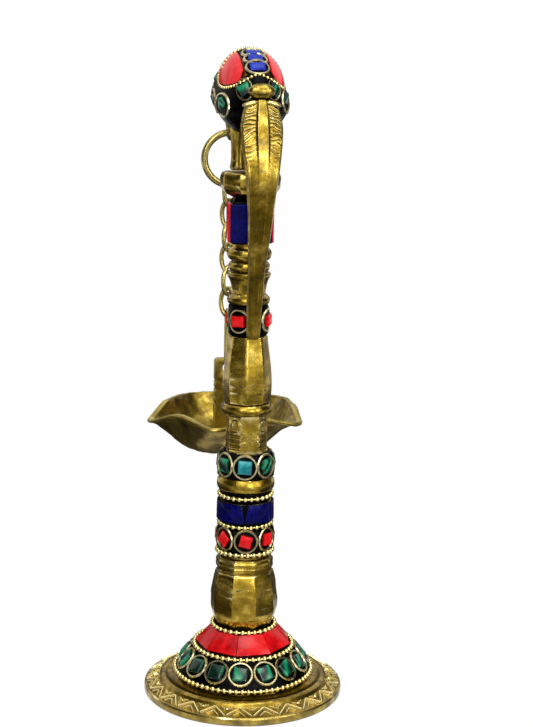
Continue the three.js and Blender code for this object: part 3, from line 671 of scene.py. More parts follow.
column = {
    "bulb": [(10.2, 28.0), (11.0, 29.4), (12.2, 31.8), (13.1, 34.8), (13.35, 38.2), (13.15, 42),
             (12.6, 46), (11.9, 49.6), (11.4, 51.6)],
    "bulbTop": [(10.8, 52.2), (10.8, 52.7), (11.3, 53.3), (11.35, 55.0), (11.1, 55.3),
                (11.35, 55.7), (11.2, 57.0), (10.6, 57.6), (10.5, 58.4)],
    "middle": [(9.9, 58.6), (9.9, 62.3), (8.2, 62.3), (8.2, 74.4), (10.6, 74.4), (10.6, 82.4),
               (8.6, 82.4), (8.6, 87.0), (11.0, 87.1), (11.6, 87.7), (11.85, 88.9), (11.8, 90.3),
               (11.4, 91.7), (10.9, 92.6), (8.2, 92.7), (8.2, 103.1)],
    "shaft": [(9.3, 103.15), (9.4, 103.7), (8.5, 104.5), (8.45, 105.5), (7.9, 105.9),
              (8.45, 106.3), (8.45, 107.6), (7.9, 108.0), (8.45, 108.4), (8.45, 109.6),
              (7.9, 110.0), (8.35, 110.4), (8.2, 113.5), (8.3, 118.3)],
    "waist": [(8.5, 118.4), (9.4, 118.6), (10.1, 119.3), (10.4, 120.4), (10.35, 121.4),
              (9.9, 122.4), (9.2, 123.0)],
    "vase": [(8.9, 123.1), (9.15, 126.5), (9.3, 131), (9.1, 136), (8.6, 141), (7.9, 146.5),
             (7.4, 150.8)],
    "bore": 3.3, "bulbSides": 9, "bulbTurn": 80, "shaftSides": 8, "vaseTurn": 100,
    "filedTo": 7.85, "filedAt": 110,
}


def sleeve(outside):              # a closed outline round the tie rod's bore
    bore = column["bore"]
    return [(bore, outside[0][1]), *outside, (bore, outside[-1][1]), (bore, outside[0][1])]


def waved(piece, size, depth):    # the slight unevenness that hand filing leaves
    applied(piece, "SUBSURF", subdivision_type="SIMPLE", levels=2, render_levels=2)
    return uneven(piece, size, depth)


bulb = flatSided(sleeve(eased(column["bulb"], 3) + column["bulbTop"]), column["bulbSides"],
                 column["bulbTurn"], 1.2)
cutAway(waved(bulb, 5, 0.6), fileMarks([
    (60, 13.0, 34.4, 5), (86, 12.15, 50.6, -4), (112, 12.8, 44, 40), (128, 13.2, 35.5, 0),
    (142, 12.8, 45, -35), (75, 13.1, 33.4, 3), (150, 12.2, 50, 15), (200, 13.1, 41, 60),
    (250, 12.6, 46, -20), (320, 13.2, 37, 25), (10, 12.5, 48, -50), (100, 11.3, 54.3, 4),
    (94, 12.9, 33.6, -4), (108, 13.3, 39, -30), (70, 12.5, 46.5, 8)]))
seated(bulb, "lowerBulb", turnedBrass, ["lower_bulb"], angle=35)

middle = turned(sleeve(column["middle"]), 72, 0.3)
seated(waved(middle, 5, 0.2), "middleCasting", turnedBrass, ["middle_casting"])


def lacSleeve(name, inner, outer, low, high, cone=0.0):    # cone slants its lower end
    outline = [(inner, low), (outer, low + cone), (outer, high), (inner, high), (inner, low)]
    seated(turned(outline, 84, 0.15), name, blackLac)


# black filling behind the beaded wires, between the inlaid bands
lacSleeve("lacUnderLowerBeads", 9.95, 10.5, 59.6, 62.4, 0.3)
lacSleeve("lacUnderMiddleBeads", 8.25, 9.8, 71.5, 74.35)
lacSleeve("lacUnderUpperBeads", 8.65, 10.0, 82.5, 87.0)

columnBands = {                   # each stone and its bezel sit on one flat of a many-sided bed
    "red_stone_band": {"bed": [(8.5, 62.6), (10.6, 62.6), (10.9, 63.2), (10.9, 70.8), (10.6, 71.4),
                               (8.5, 71.4)], "radius": 10.9, "height": 67, "start": 30.6,
                       "sides": 7, "chip": redChip, "size": 0.98, "lean": 0,
                       "cut": (0.88, 0.88), "turns": [-35, -14, -3, 30, 12, 40, 20]},
    "green_stone_band": {"bed": [(8.5, 92.9), (10.6, 92.9), (10.85, 93.6), (10.2, 102.6),
                                 (9.9, 103.1), (8.5, 103.1)], "radius": 10.5, "height": 98,
                         "start": 26.6, "sides": 7, "chip": greenChip, "size": 1.0, "lean": 4.5,
                         "cut": (0.95, 0.95), "turns": [2, -3, 8, 40, 10, -12, 22]},
    "upper_stone_band": {"bed": [(6.4, 151.2), (7.8, 151.2), (8.1, 152.0), (8.1, 162.6),
                                 (7.8, 163.3), (6.4, 163.3)], "radius": 8.1, "height": 157.2,
                         "start": 38, "sides": 24, "chip": redChip, "size": 0.95, "lean": 0,
                         "cut": (1.0, 0.78), "turns": [-4, 4, 6, -10, 15, 0],
                         "spots": [-40, 51, 155, 200, 245, 283]},
}
for node, band in columnBands.items():
    title = node.title().replace("_", "")
    lac = flatSided(band["bed"] + [band["bed"][0]], band["sides"], band["start"], 0.3)
    seated(lac, title + "Bed", blackLac, [node])

    def bandSurface(angle, across, up, height, band=band):
        radius = band["radius"] + height - up * math.sin(math.radians(band["lean"]))
        if "spots" in band:           # the upper bed is nearly round, so its rings are bent to it
            angle, across = angle - across / radius, 0
        return (radius * math.cos(angle) + across * math.sin(angle),
                radius * math.sin(angle) - across * math.cos(angle), band["height"] + up)

    even = [band["start"] + 360 * i / band["sides"] for i in range(band["sides"])]
    spots = band.get("spots", even)
    places = [(math.radians(spot), spin) for spot, spin in zip(spots, band["turns"])]
    rings, stones = stonesInRings(places, bandSurface, band["size"], 0.3, band["cut"])
    seated(rings, title + "Bezels", paleWire, [node])
    if node == "green_stone_band":    # one stone of this band is a bluer chip
        seated(stones.pop(1), title + "TealStone", tealChip, [node], angle=20)
    seated(joined(stones), title + "Stones", band["chip"], [node], angle=20)

bluePlate = {"inner": 10.75, "outer": 12.0, "low": 74.6, "high": 82.3, "count": 6, "first": -11,
             "gap": 1.6, "taper": 0.15, "ground": 0.3, "middle": 78.5, "wedge": 119.2,
             "wedgeLow": 75.5, "wedgeLean": 9}
blueOutline = [(bluePlate["inner"], bluePlate["low"]), (bluePlate["outer"], bluePlate["low"]),
               (bluePlate["outer"] - bluePlate["taper"], bluePlate["high"]),
               (bluePlate["inner"], bluePlate["high"]), (bluePlate["inner"], bluePlate["low"])]
for i in range(bluePlate["count"]):
    share = 360 / bluePlate["count"]
    plate = turned(blueOutline, 6, sweep=share - bluePlate["gap"])
    placed(plate, turn=(share - bluePlate["gap"]) / 2)        # the spin runs backwards
    filed(plate, 0, bluePlate["outer"] - bluePlate["ground"], bluePlate["middle"], 1)
    if i in (1, 2):               # the visible joint is a wedge, open at its top
        filed(plate, bluePlate["wedge"] if i == 1 else -bluePlate["wedge"], 0,
              bluePlate["wedgeLow"], bluePlate["wedgeLean"])
    bevelled(plate, 0.35, 2, 40)
    turn = bluePlate["first"] + share * i + chance.uniform(-0.5, 0.5)
    placed(plate, (0, 0, chance.uniform(-0.1, 0.1)), turn)
    seated(plate, f"bluePlate{i + 1}", navyChip, [f"blue_plate_{i + 1}"])
lacSleeve("lacBehindBluePlates", 10.62, 11.3, 74.5, 82.35)
print("inlaid bands set")

shaft = flatSided(sleeve(column["shaft"]), column["shaftSides"], 0, 0.35)
petal = {"radius": 1.9, "wire": 0.38, "pull": 1.2, "face": 8.3, "height": 113.6}


def petalCutter():                # a shallow U for each engraved petal, on every other face
    outline = wireRing(petal["radius"], petal["wire"], 28, 8)
    movePoints(outline, lambda p: p.y > 0.6, (0, petal["pull"], 0))
    cutters = []
    for i in range(4):
        a = math.radians(90 * i + 45)
        cutters.append(setOn(outline, (petal["face"] * math.cos(a), petal["face"] * math.sin(a),
                                       petal["height"]), (math.cos(a), math.sin(a), 0)))
    discard(outline)
    return joined(cutters)


for k in range(4):                # the plain faces are filed below the grooves
    filed(shaft, 90 * k, column["filedTo"], column["filedAt"], 0)
applied(shaft, "SUBSURF", subdivision_type="SIMPLE", levels=1, render_levels=1)
cutAway(waved(shaft, 4, 0.2), petalCutter())
seated(shaft, "octagonShaft", turnedBrass, ["octagon_shaft"], angle=35)

vase = flatSided(sleeve(eased(column["vase"], 4)), column["shaftSides"], column["vaseTurn"], 2.2)
cutAway(waved(vase, 5, 0.4), fileMarks([
    (78, 9.2, 129.0, 8), (112, 9.2, 127.8, -6), (132, 9.2, 129.2, 20), (60, 9.2, 128.0, -12),
    (170, 9.3, 127.5, 5), (230, 9.2, 126.8, 10), (290, 9.35, 128, -8), (345, 9.3, 127, 6),
    (96, 9.2, 131.5, 30), (66, 9.2, 131.0, -25)], 2.0))
vase = joined([vase, waved(turned(sleeve(column["waist"]), 64, 0.35), 5, 0.25)])
seated(vase, "upperBulb", turnedBrass, ["upper_bulb"], angle=35)

cup = {
    "rings": [(6.0, 150.9), (6.0, 163.5), (7.6, 163.5), (8.4, 164.0), (8.75, 165.1), (8.45, 166.3),
              (7.6, 167.0), (6.9, 167.7), (7.0, 169.5), (7.5, 172), (8.0, 173.6), (8.6, 174.5),
              (8.75, 175.4), (8.65, 176.2), (8.1, 176.5), (7.3, 176.8), (7.9, 177.2), (8.3, 178.1),
              (8.35, 179.0), (8.1, 180.0), (7.5, 180.6), (6.9, 180.9), (7.6, 181.3), (8.6, 182.1),
              (9.0, 183.3), (8.95, 184.6), (8.4, 185.6), (7.5, 186.3), (7.2, 187.0), (7.2, 188.2)],
    "block": 7.4, "low": 188.1, "high": 204.6, "top": 206.6, "turn": -6, "shoulder": 0.8,
}
rings = waved(turned(sleeve(cup["rings"]), 64, 0.3), 5, 0.25)
seated(rings, "stackedRings", turnedBrass, ["cup_casting"])

core = block((2 * cup["block"], 2 * cup["block"], cup["high"] - cup["low"]),
             (0, 0, (cup["low"] + cup["high"]) / 2))
placed(core, turn=cup["turn"])
choose(core, "FACE", lambda side: side.normal.z > 0.9)
bpy.ops.mesh.extrude_region_move(TRANSFORM_OT_translate={
    "value": (0, 0, (cup["top"] - cup["high"]) * mm)})
bpy.ops.transform.resize(value=(cup["shoulder"], cup["shoulder"], 1), center_override=(0, 0, 0))
letGo()
seated(bevelled(core, 0.5, 3), "neckLac", blackLac, ["cup_casting"])

slab = {"low": 188.8, "high": 204.1, "inner": 7.42, "outer": 9.0, "ground": 0.5, "crown": 0.12}
for side, turn, chip, half in (("right", 0, redChip, 7.0), ("back", 90, navyChip, 8.3),
                               ("left", 180, redChip, 7.0), ("front", 270, navyChip, 8.3)):
    plate = block((slab["outer"] - slab["inner"], 2 * half, slab["high"] - slab["low"]),
                  ((slab["inner"] + slab["outer"]) / 2, 0, (slab["low"] + slab["high"]) / 2))
    raisedFace(plate, (1, 0, 0), slab["ground"], slab["crown"])
    bevelled(plate, 0.4, 3)
    placed(plate, turn=turn + cup["turn"] + chance.uniform(-0.6, 0.6))
    seated(plate, f"neckSlab{side.title()}", chip, [f"neck_slab_{side}"])

perch = [(0, 206.7), (5.8, 206.7), (8.0, 207.0), (10.2, 208.1), (11.2, 209.6), (11.5, 211.0),
         (11.6, 214.0), (11.3, 215.4), (10.4, 216.3), (9.0, 216.6), (8.2, 216.2), (0, 216.2)]
seated(waved(flatSided(perch, 9, 80, 2.2), 4, 0.7), "perchCup", turnedBrass, ["perch_cup"])
print("column stacked")


# The peacock: a tilted egg with inlaid back, a neck that bends down to the beak, and two legs

bird = {"x": 11.5, "y": 21.2, "z": 13.1, "height": 249, "tilt": 19, "strip": 4.8, "aside": 0.4,
        "saddleEnds": 40, "saddleSides": 83}
knob = {"place": (0, 21.0, 248.2), "size": (5.5, 3.1, 3.2)}
beak = {"bore": 2.0, "lug": (2.0, 3.6, 3.6), "lugAt": (0, -50.5, 229.1)}
casting = {"voxel": 0.42, "smoothing": 6, "wave": 4, "waveDepth": 0.25}


def inBody(x, y, z):
    tilt = math.radians(bird["tilt"])
    return (x + bird["aside"], y * math.cos(tilt) + z * math.sin(tilt),
            -y * math.sin(tilt) + z * math.cos(tilt) + bird["height"])


def onBody(fromTop, about, height):
    return inBody((bird["x"] + height) * math.sin(fromTop) * math.cos(about),
                  (bird["y"] + height) * math.sin(fromTop) * math.sin(about),
                  (bird["z"] + height) * math.cos(fromTop))


def saddleEdge(about):            # how far from the top the saddle reaches, all round the body
    wider = (bird["saddleSides"] - bird["saddleEnds"]) * math.cos(about) ** 2
    return math.radians(bird["saddleEnds"] + wider)


# The neck's middle line: [y, z, half width, half height]
neckLine = [(-4, 249.5, 10.4, 11.0), (-10, 252.2, 9.8, 10.4), (-17, 254.2, 8.8, 8.8),
            (-24, 255.0, 7.4, 7.1), (-31, 254.2, 6.0, 5.9), (-36.5, 251.6, 5.5, 5.5),
            (-41, 248.0, 5.8, 5.9), (-44.5, 244.0, 5.8, 6.0), (-47.3, 239.5, 4.3, 4.8),
            (-49.2, 235.0, 2.8, 3.5), (-50.1, 231.5, 2.2, 2.9), (-50.4, 228.3, 1.8, 2.5)]
neckCurve = eased(neckLine, 5)


def onNeck(share, angle, lift):
    (y, z, wide, high), along = alongCurve(neckCurve, share, 2)
    rise = (high + lift) * math.sin(angle)
    return ((wide + lift) * math.cos(angle), y - along.y * rise, z + along.x * rise)


legs = {"spread": 5.4, "lean": 0.02, "depth": 1.15, "web": 0.75,
        "profile": [(2.9, 217.0), (3.1, 218.4), (2.7, 220), (2.7, 224), (3.1, 229), (3.9, 234),
                    (4.6, 239)]}


def leg(side):                    # side 0 is the web of metal that joins the two legs
    curve = eased(legs["profile"], 4)
    depth = legs["depth"] if side else legs["web"]

    def skin(u, v):
        radius, height = curve[min(round(v * (len(curve) - 1)), len(curve) - 1)]
        angle = 2 * math.pi * u
        lean = (height - curve[0][1]) * legs["lean"]
        return (side * (legs["spread"] - lean) + radius * math.cos(angle),
                depth * radius * math.sin(angle), height)
    return shapedGrid(20, len(curve) - 1, skin, ends=True)


egg = placed(ball((0, 0, 0), (bird["x"], bird["y"], bird["z"]), 48, 28),
             (bird["aside"], 0, bird["height"]), -bird["tilt"], "X")
neck = shapedGrid(32, len(neckCurve) * 2, lambda u, v: onNeck(v, 2 * math.pi * u, 0), ends=True)
body = joined([egg, neck, ball(beak["lugAt"], beak["lug"]), ball(knob["place"], knob["size"]),
               leg(-1), leg(0), leg(1)])
applied(body, "REMESH", mode="VOXEL", voxel_size=casting["voxel"] * mm)
applied(body, "SMOOTH", factor=0.6, iterations=casting["smoothing"])
cutAway(body, drill(beak["bore"], 20, (0, lampY, beak["lugAt"][2]), (0, math.pi / 2, 0)))
uneven(body, casting["wave"], casting["waveDepth"], 0.6)
seated(body, "peacockBody", carvedBrass, ["peacock_casting"], angle=60)

# raised feather scales on the neck, in rows that overlap like tiles
scale = {"rows": 9, "perRow": 10, "first": 0.30, "last": 0.66, "wire": 0.16, "half": 0.30,
         "reach": 0.020, "lift": 0.05, "rise": 1.1}
arcTemplate = wireRing(1, scale["wire"], 16, 5)
choose(arcTemplate, "VERT", lambda point: point.co.y > 0.15 * mm)
bpy.ops.mesh.delete(type="VERT")
editAll(arcTemplate)
bpy.ops.mesh.fill_holes(sides=0)
letGo()
arcs = []
for row in range(scale["rows"]):
    share = scale["first"] + (scale["last"] - scale["first"]) * row / (scale["rows"] - 1)
    for i in range(scale["perRow"]):
        turn = 2 * math.pi * (i + 0.5 * (row % 2)) / scale["perRow"]
        arcs.append(wrapOn(arcTemplate, lambda x, y, h, share=share, turn=turn: onNeck(
            share - scale["reach"] * y, turn + scale["half"] * x,
            scale["lift"] + scale["rise"] * h)))
discard(arcTemplate)
seated(joined(arcs), "neckFeathers", carvedBrass, ["peacock_casting"], angle=60)

# eyes in their lids, and a crest of three stems with a bead on each
face = {"share": 0.70, "angle": 28, "eye": 1.15, "lid": 1.75, "lidWire": 0.38,
        "crest": (-40.2, 252.6), "apart": 1.4, "fan": 0.35, "stem": 7, "stemRoot": 1.15,
        "stemTip": 0.5, "stemAt": 2.2, "bud": (1.4, 1.4, 1.5), "budAt": 5.4}
faceParts = []
for angle in (math.radians(180 - face["angle"]), math.radians(face["angle"])):
    centre = Vector(onNeck(face["share"], angle, 0.0))
    outward = Vector(onNeck(face["share"], angle, 1.0)) - centre
    faceParts.append(ball(centre, (face["eye"],) * 3, 14, 8))
    lid = wireRing(face["lid"], face["lidWire"], 24, 8)
    faceParts.append(setOn(lid, centre + outward * 0.1, outward))
    discard(lid)
for step in (-1, 0, 1):
    letGo()
    bpy.ops.mesh.primitive_cone_add(vertices=10, radius1=face["stemRoot"] * mm,
                                    radius2=face["stemTip"] * mm, depth=face["stem"] * mm)
    stem = settled(bpy.context.object)
    direction = Vector((step * face["fan"], 0.5, 1)).normalized()
    root = Vector((step * face["apart"], *face["crest"]))
    faceParts.append(setOn(stem, root + direction * face["stemAt"], direction))
    discard(stem)
    faceParts.append(ball(root + direction * face["budAt"], face["bud"], 12, 8))
seated(joined(faceParts), "headDetails", carvedBrass, ["peacock_casting"], angle=60)
print("bird cast")


# Saddle: coral flanks, lac with blue stones along the spine, green stones below, beaded edge

def turnedOut(piece, outward):    # an open sheet's faces turned to the side that outward points to
    face = piece.data.polygons[len(piece.data.polygons) // 2]
    if face.normal.dot(Vector(outward)) < 0:
        editAll(piece)
        bpy.ops.mesh.flip_normals()
        letGo()
    return piece


flank = {"front": -44, "sweep": 90, "rimGap": 3.2, "stripGap": 0.25, "lift": 1.45, "crown": 0.12,
         "thick": 0.9}


def flankSurface(side):
    def surface(u, v):
        about = math.radians(flank["front"] + flank["sweep"] * u)
        edge = saddleEdge(about) - math.radians(flank["rimGap"])
        stripEdge = (bird["strip"] + flank["stripGap"]) / (bird["x"] * math.cos(about))
        strip = math.asin(min(0.98, stripEdge))
        x, y, z = onBody(strip + (edge - strip) * v, about,
                         flank["lift"] + flank["crown"] * math.sin(math.pi * v))
        return (side * (x - bird["aside"]) + bird["aside"], y, z)
    return surface


for side, word in ((1, "right"), (-1, "left")):
    panel = turnedOut(shapedGrid(24, 16, flankSurface(side)), (side, 0, 0.2))
    applied(panel, "SOLIDIFY", thickness=flank["thick"] * mm, offset=-1)
    seated(bevelled(panel, 0.3, 2, 50), f"flankPanel{word.title()}", coralChip,
           [f"flank_panel_{word}"])


def spineAt(along, across, height):
    share = math.sqrt(max(0.0, 1 - (across / (bird["x"] + height)) ** 2))
    return inBody(across, (bird["y"] + height) * share * math.sin(along),
                  (bird["z"] + height) * share * math.cos(along))


spine = {"front": -30, "rear": 34, "lac": 1.15, "thick": 0.9, "overlap": 0.1, "proud": 0.25,
         "stones": [(-1, 5), (13, -4), (29, 3)]}
strip = turnedOut(shapedGrid(12, 26, lambda u, v: spineAt(
    math.radians(spine["front"] + (spine["rear"] - spine["front"]) * v),
    (bird["strip"] + spine["overlap"]) * (2 * u - 1), spine["lac"])), (0, 0, 1))
applied(strip, "SOLIDIFY", thickness=spine["thick"] * mm, offset=-1)
seated(strip, "spineLac", blackLac, ["back_stone_strip"])


def spineSurface(along, across, up, height):
    lift = spine["lac"] + spine["proud"]
    return spineAt(along - up / (bird["y"] + lift), across, lift + height)


spinePlaces = [(math.radians(along), turn) for along, turn in spine["stones"]]
spineRings, spineStones = stonesInRings(spinePlaces, spineSurface, size=0.94, sink=0.95,
                                        cut=(1.05, 0.66))
seated(spineRings, "spineBezels", paleWire, ["back_stone_strip"])
seated(joined(spineStones), "spineStones", royalChip, ["back_stone_strip"], angle=20)

# "stones" holds each one's place about the body, how far below the saddle it is, and its turn
bed = {"low": 0.3, "high": 1.3, "bottom": 150, "swell": 2.8, "swellFrom": 78, "swellTo": 112,
       "under": 6, "stones": [(60, 15, 30), (26, 27, 60), (-4, 29, 20), (-36, 27, 50),
                              (120, 15, -30), (151, 20, 40), (184, 29, 10), (214, 27, 70)]}


def eases(value, start, end):     # 0 before start, 1 after end, and smooth between
    share = min(max((value - start) / (end - start), 0.0), 1.0)
    return share * share * (3 - 2 * share)


def bedHeight(fromTop):           # the lac is thicker below the body's widest line
    swelling = eases(math.degrees(fromTop), bed["swellFrom"], bed["swellTo"])
    return bed["high"] + bed["swell"] * swelling


def bedSkin(u, v):                # out along the lac's face and back along its inside
    about = 2 * math.pi * u
    edge = saddleEdge(about) - math.radians(bed["under"])
    end = math.radians(bed["bottom"])
    out = v < 0.5
    share = 2 * v if out else 2 - 2 * v
    fromTop = edge + (end - edge) * share
    return onBody(fromTop, about, bedHeight(fromTop) if out else bed["low"])


bodyLac = shapedGrid(72, 40, bedSkin)
cutAway(bodyLac, shapedGrid(24, len(neckCurve) * 2,
                            lambda u, v: onNeck(v, 2 * math.pi * u, 0.25), ends=True))
cutAway(bodyLac, ball(knob["place"], [s + 0.2 for s in knob["size"]]))
seated(bodyLac, "bodyLac", blackLac, ["body_lac_bed"])


def bellySurface(spot, across, up, height):
    about, below = spot
    fromTop = saddleEdge(about) + below - up / (bird["z"] + 3)
    return onBody(fromTop, about - across / (bird["x"] + 5), height + bedHeight(fromTop))


bellyPlaces = [((math.radians(about), math.radians(below)), turn)
               for about, below, turn in bed["stones"]]
bellyRings, bellyStones = stonesInRings(bellyPlaces, bellySurface, size=0.9, sink=1.15,
                                        cut=(0.86, 0.86))
seated(bellyRings, "bellyBezels", paleWire, ["body_lac_bed"])
seated(joined(bellyStones), "bellyStones", greenChip, ["body_lac_bed"], angle=20)


def evenly(points, spacing):      # points at one spacing along a path
    kept = [points[0]]
    walked = 0.0
    for start, end in zip(points, points[1:]):
        walked += (Vector(end) - Vector(start)).length
        if walked >= spacing:
            kept.append(end)
            walked = 0.0
    return kept


# the fine beaded wire that edges the saddle, left open where the neck is, and a row across it
saddle = {"bead": 0.68, "spacing": 1.62, "outside": 1.2, "lift": 1.25, "openFrom": -60,
          "openTo": -120, "over": -23, "overEnds": 88, "top": 1.4}
rim = [onBody(saddleEdge(about) + math.radians(saddle["outside"]), about, saddle["lift"])
       for about in (math.radians(a / 4) for a in range(4 * saddle["openFrom"],
                                                        4 * (saddle["openTo"] + 360)))]
over = [spineAt(math.radians(saddle["over"]), bird["x"] * math.sin(math.radians(a / 2)),
                saddle["top"])
        for a in range(-2 * saddle["overEnds"], 2 * saddle["overEnds"] + 1)]
saddleBeads = [bead(spot, saddle["bead"])
               for spot in evenly(rim, saddle["spacing"]) + evenly(over, saddle["spacing"])]
seated(joined(saddleBeads), "saddleBeads", goldWire, ["saddle_bead_wire"], angle=70)
print("saddle set")


# Tail: a long solid feather with a raised flat rib, slanting barbs above and plain below.
# Its middle line: [y, z, width, thickness]

tailLine = [(20.5, 244, 12.5, 4.6), (22, 240, 14.6, 5), (23, 235, 16.6, 4.9),
            (24.6, 229, 16.0, 4.6), (25.7, 223, 14.6, 4.3), (26.2, 216, 12.8, 4.1),
            (25.2, 208, 11, 3.9), (23.6, 200, 9.8, 3.8), (21.2, 192, 8.8, 3.6),
            (18.6, 185, 7.6, 3.4), (16, 177, 6.8, 3.2), (13.8, 168, 6.4, 3.1),
            (12.3, 159, 5.8, 3.1), (11.7, 152.5, 5.4, 3), (11.7, 150.8, 4.4, 2.6)]
feather = {
    "outer": 0.72,                # the share of the outline that is the outer face
    "crown": 0.5, "edgeDrop": 0.45,                      # shares of half the thickness
    "barbs": 44, "slant": 1.3, "barbRise": 0.36, "fadeFrom": 0.18, "fadeTo": 0.36,
    "rib": 0.25, "ribRise": 0.5, "sink": 0.35, "border": 0.12,
    "leaf": (3.1, 1.3, 1.15), "leafAt": (4.6, 22.4, 243.6), "leafTurn": 16,
}
tailCurve = eased(tailLine, 14)


def tailSurface(u, v):
    (y, z, width, thick), along = alongCurve(tailCurve, v, 4)
    half = thick / 2
    if u < feather["outer"]:      # the outer face, then the plain inner face
        across = 1 - 2 * u / feather["outer"]
        side = abs(across)
        fade = 1 - eases(v, feather["fadeFrom"], feather["fadeTo"])
        ribEdge = feather["rib"] * (0.8 + 0.5 * v)
        rib = 1 - eases(side, ribEdge, ribEdge + 0.12)
        border = max(0.0, 1 - ((side - 0.86) / 0.1) ** 2)
        wander = 0.22 * math.sin(31 * v + 5 * across) + 0.16 * math.sin(67 * v - 9 * across)
        wave = math.cos(2 * math.pi * (feather["barbs"] * v - feather["slant"] * side + wander))
        barb = feather["barbRise"] * 0.5 * wave * (1 - rib) * (1 - eases(side, 0.84, 0.98))
        out = half * (1 - feather["crown"] * side ** 2.4
                      - feather["edgeDrop"] * eases(side, 0.9, 1.0))
        out += feather["ribRise"] * rib * (0.25 + 0.75 * fade) - feather["sink"] * (1 - rib) * fade
        out += barb * fade + feather["border"] * border * (1 - fade)
    else:
        inner = (u - feather["outer"]) / (1 - feather["outer"])
        across = -1 + 2 * inner
        out = -half * (0.1 + 0.9 * math.sin(math.pi * inner) ** 0.6)
    return (across * width / 2, y - along.y * out, z + along.x * out)


tail = shapedGrid(110, len(tailCurve) * 2, tailSurface, ends=True)
cutAway(tail, ball(knob["place"], [s + 0.25 for s in knob["size"]]))
x, y, z = feather["leafAt"]       # two small leaves where the feather leaves the rump
leaves = [placed(ball((0, 0, 0), feather["leaf"], 16, 10), (side * x, y, z),
                 side * feather["leafTurn"], "Y") for side in (-1, 1)]
seated(joined([tail, *leaves]), "tailFeather", carvedBrass, ["tail"], angle=50)
print("tail chased")


# Ring, chain and long loop of bent wire

wires = {"ring": 11.1, "ringWire": 1.5, "ringTop": 229.1, "link": 1.0, "bend": 4.0, "length": 12.1,
         "count": 6, "play": 0.55, "loopBend": 4.2, "loopLow": 128.2}
ring = wireRing(wires["ring"], wires["ringWire"], 96, 14,
                (0, lampY, wires["ringTop"] - wires["ring"]), upright=True)
seated(ring, "hangingRing", chainWire, ["hanging_ring"], "ring", 70)


def wireLoop(top, low, bend, turn, oval=False):       # a ring of wire pulled out to a link
    loop = wireRing(bend, wires["link"], 48, 12, upright=True)
    stretch = (top - low) / 2 - bend
    if oval:                      # its middle line becomes an ellipse, and the wire stays round
        for point in loop.data.vertices:
            outward = Vector((point.co.x, 0, point.co.z)).normalized()
            point.co.z += outward.z * stretch * mm
    else:
        movePoints(loop, lambda p: p.z > 0.001, (0, 0, stretch))
        movePoints(loop, lambda p: p.z < -0.001, (0, 0, -stretch))
    return placed(loop, (0, lampY, (top + low) / 2), turn)


firstTop = wires["ringTop"] - 2 * wires["ring"] + wires["ringWire"] + wires["link"] + wires["play"]
linkPitch = wires["length"] - 2 * wires["link"] - wires["play"]
for i in range(wires["count"]):
    top = firstTop - linkPitch * i
    link = wireLoop(top, top - wires["length"], wires["bend"], -45 if i % 2 else 45, oval=True)
    seated(link, f"chainLink{i + 1}", chainWire, [f"chain_link_{i + 1}"], f"link_{i + 1}", 70)
longLoop = wireLoop(firstTop - linkPitch * wires["count"], wires["loopLow"], wires["loopBend"], 90)
seated(longLoop, "longLoop", chainWire, ["hook_loop"], "hook", 70)
print("chain hung")


# Oil bowl: five petals that meet in pouring spouts, with a post on a stepped foot in its middle

bowl = {"vertex": 34.6, "side": 29.6, "rim": 109.0, "bottom": 91, "wall": 2.1, "spouts": 5,
        "belly": 11.0, "blunt": math.radians(9), "dips": [4.0, 1.6, 2.4, -0.4, -0.4],
        "dent": 0.30, "dentTowards": 2.9, "flare": 0.42, "groove": 0.8, "lip": 0.95,
        "lipSink": 0.4}
outerProfile = eased([(0.0, 0.0), (0.24, 0.0), (0.42, 0.05), (0.62, 0.2), (0.8, 0.46),
                      (0.93, 0.76), (0.972, 0.88), (1.003, 0.93), (1.012, 0.99),
                      (0.995, 1.045)], 4)
innerProfile = eased([(0.97, 1.06), (0.945, 1.0), (0.92, 0.9), (0.86, 0.7), (0.7, 0.4), (0.5, 0.2),
                      (0.26, 0.13), (0.0, 0.12)], 4)
bowlPath = [(share, height, 0.0) for share, height in outerProfile] + [
    (share, height, bowl["wall"]) for share, height in innerProfile]
rimAt = (len(outerProfile) - 0.5) / (len(bowlPath) - 1)


def bowlRadius(angle):
    sector = 2 * math.pi / bowl["spouts"]
    fromSide = abs(angle % sector - sector / 2)
    blunt = bowl["blunt"]         # the last degrees before a spout are rounded off
    reach = sector / 2 - blunt / 2
    if fromSide > sector / 2 - blunt:
        fromSide -= (fromSide - sector / 2 + blunt) ** 2 / (2 * blunt)
    power = math.log(bowl["vertex"] / bowl["side"]) / -math.log(math.cos(reach))
    return bowl["side"] / math.cos(fromSide) ** power


def bowlSurface(u, v):
    share, height, inset = bowlPath[min(round(v * (len(bowlPath) - 1)), len(bowlPath) - 1)]
    angle = 2 * math.pi * u
    petal = math.cos(bowl["spouts"] * angle / 2)               # 1 at a spout, 0 between two
    spout = petal ** 4
    pointed = bowlRadius(angle) * share + bowl["belly"] * share * (1 - share)
    dented = max(0.0, math.cos(angle - bowl["dentTowards"]))   # the belly is flatter on one side
    pointed *= 1 - bowl["dent"] * dented * (1 - max(height, 0)) * share
    r = max(pointed - inset * min(1, share * 4) * (1 - 0.25 * share), 0.0)
    height = max(height, 0.0)
    climb = height if height > 0.99 else height ** (1 - bowl["flare"] * spout)
    dip = bowl["dips"][round(angle / (2 * math.pi / bowl["spouts"])) % bowl["spouts"]]
    z = bowl["bottom"] + (bowl["rim"] - bowl["bottom"]) * climb + (0.4 - spout) * height ** 3
    z -= dip * petal ** 2 * height ** 2
    groove = bowl["groove"] * petal ** 24 * math.sin(math.pi * min(share, 1)) ** 2
    z -= groove if inset else -groove * 0.3
    return (r * math.cos(angle), lampY + r * math.sin(angle), z)


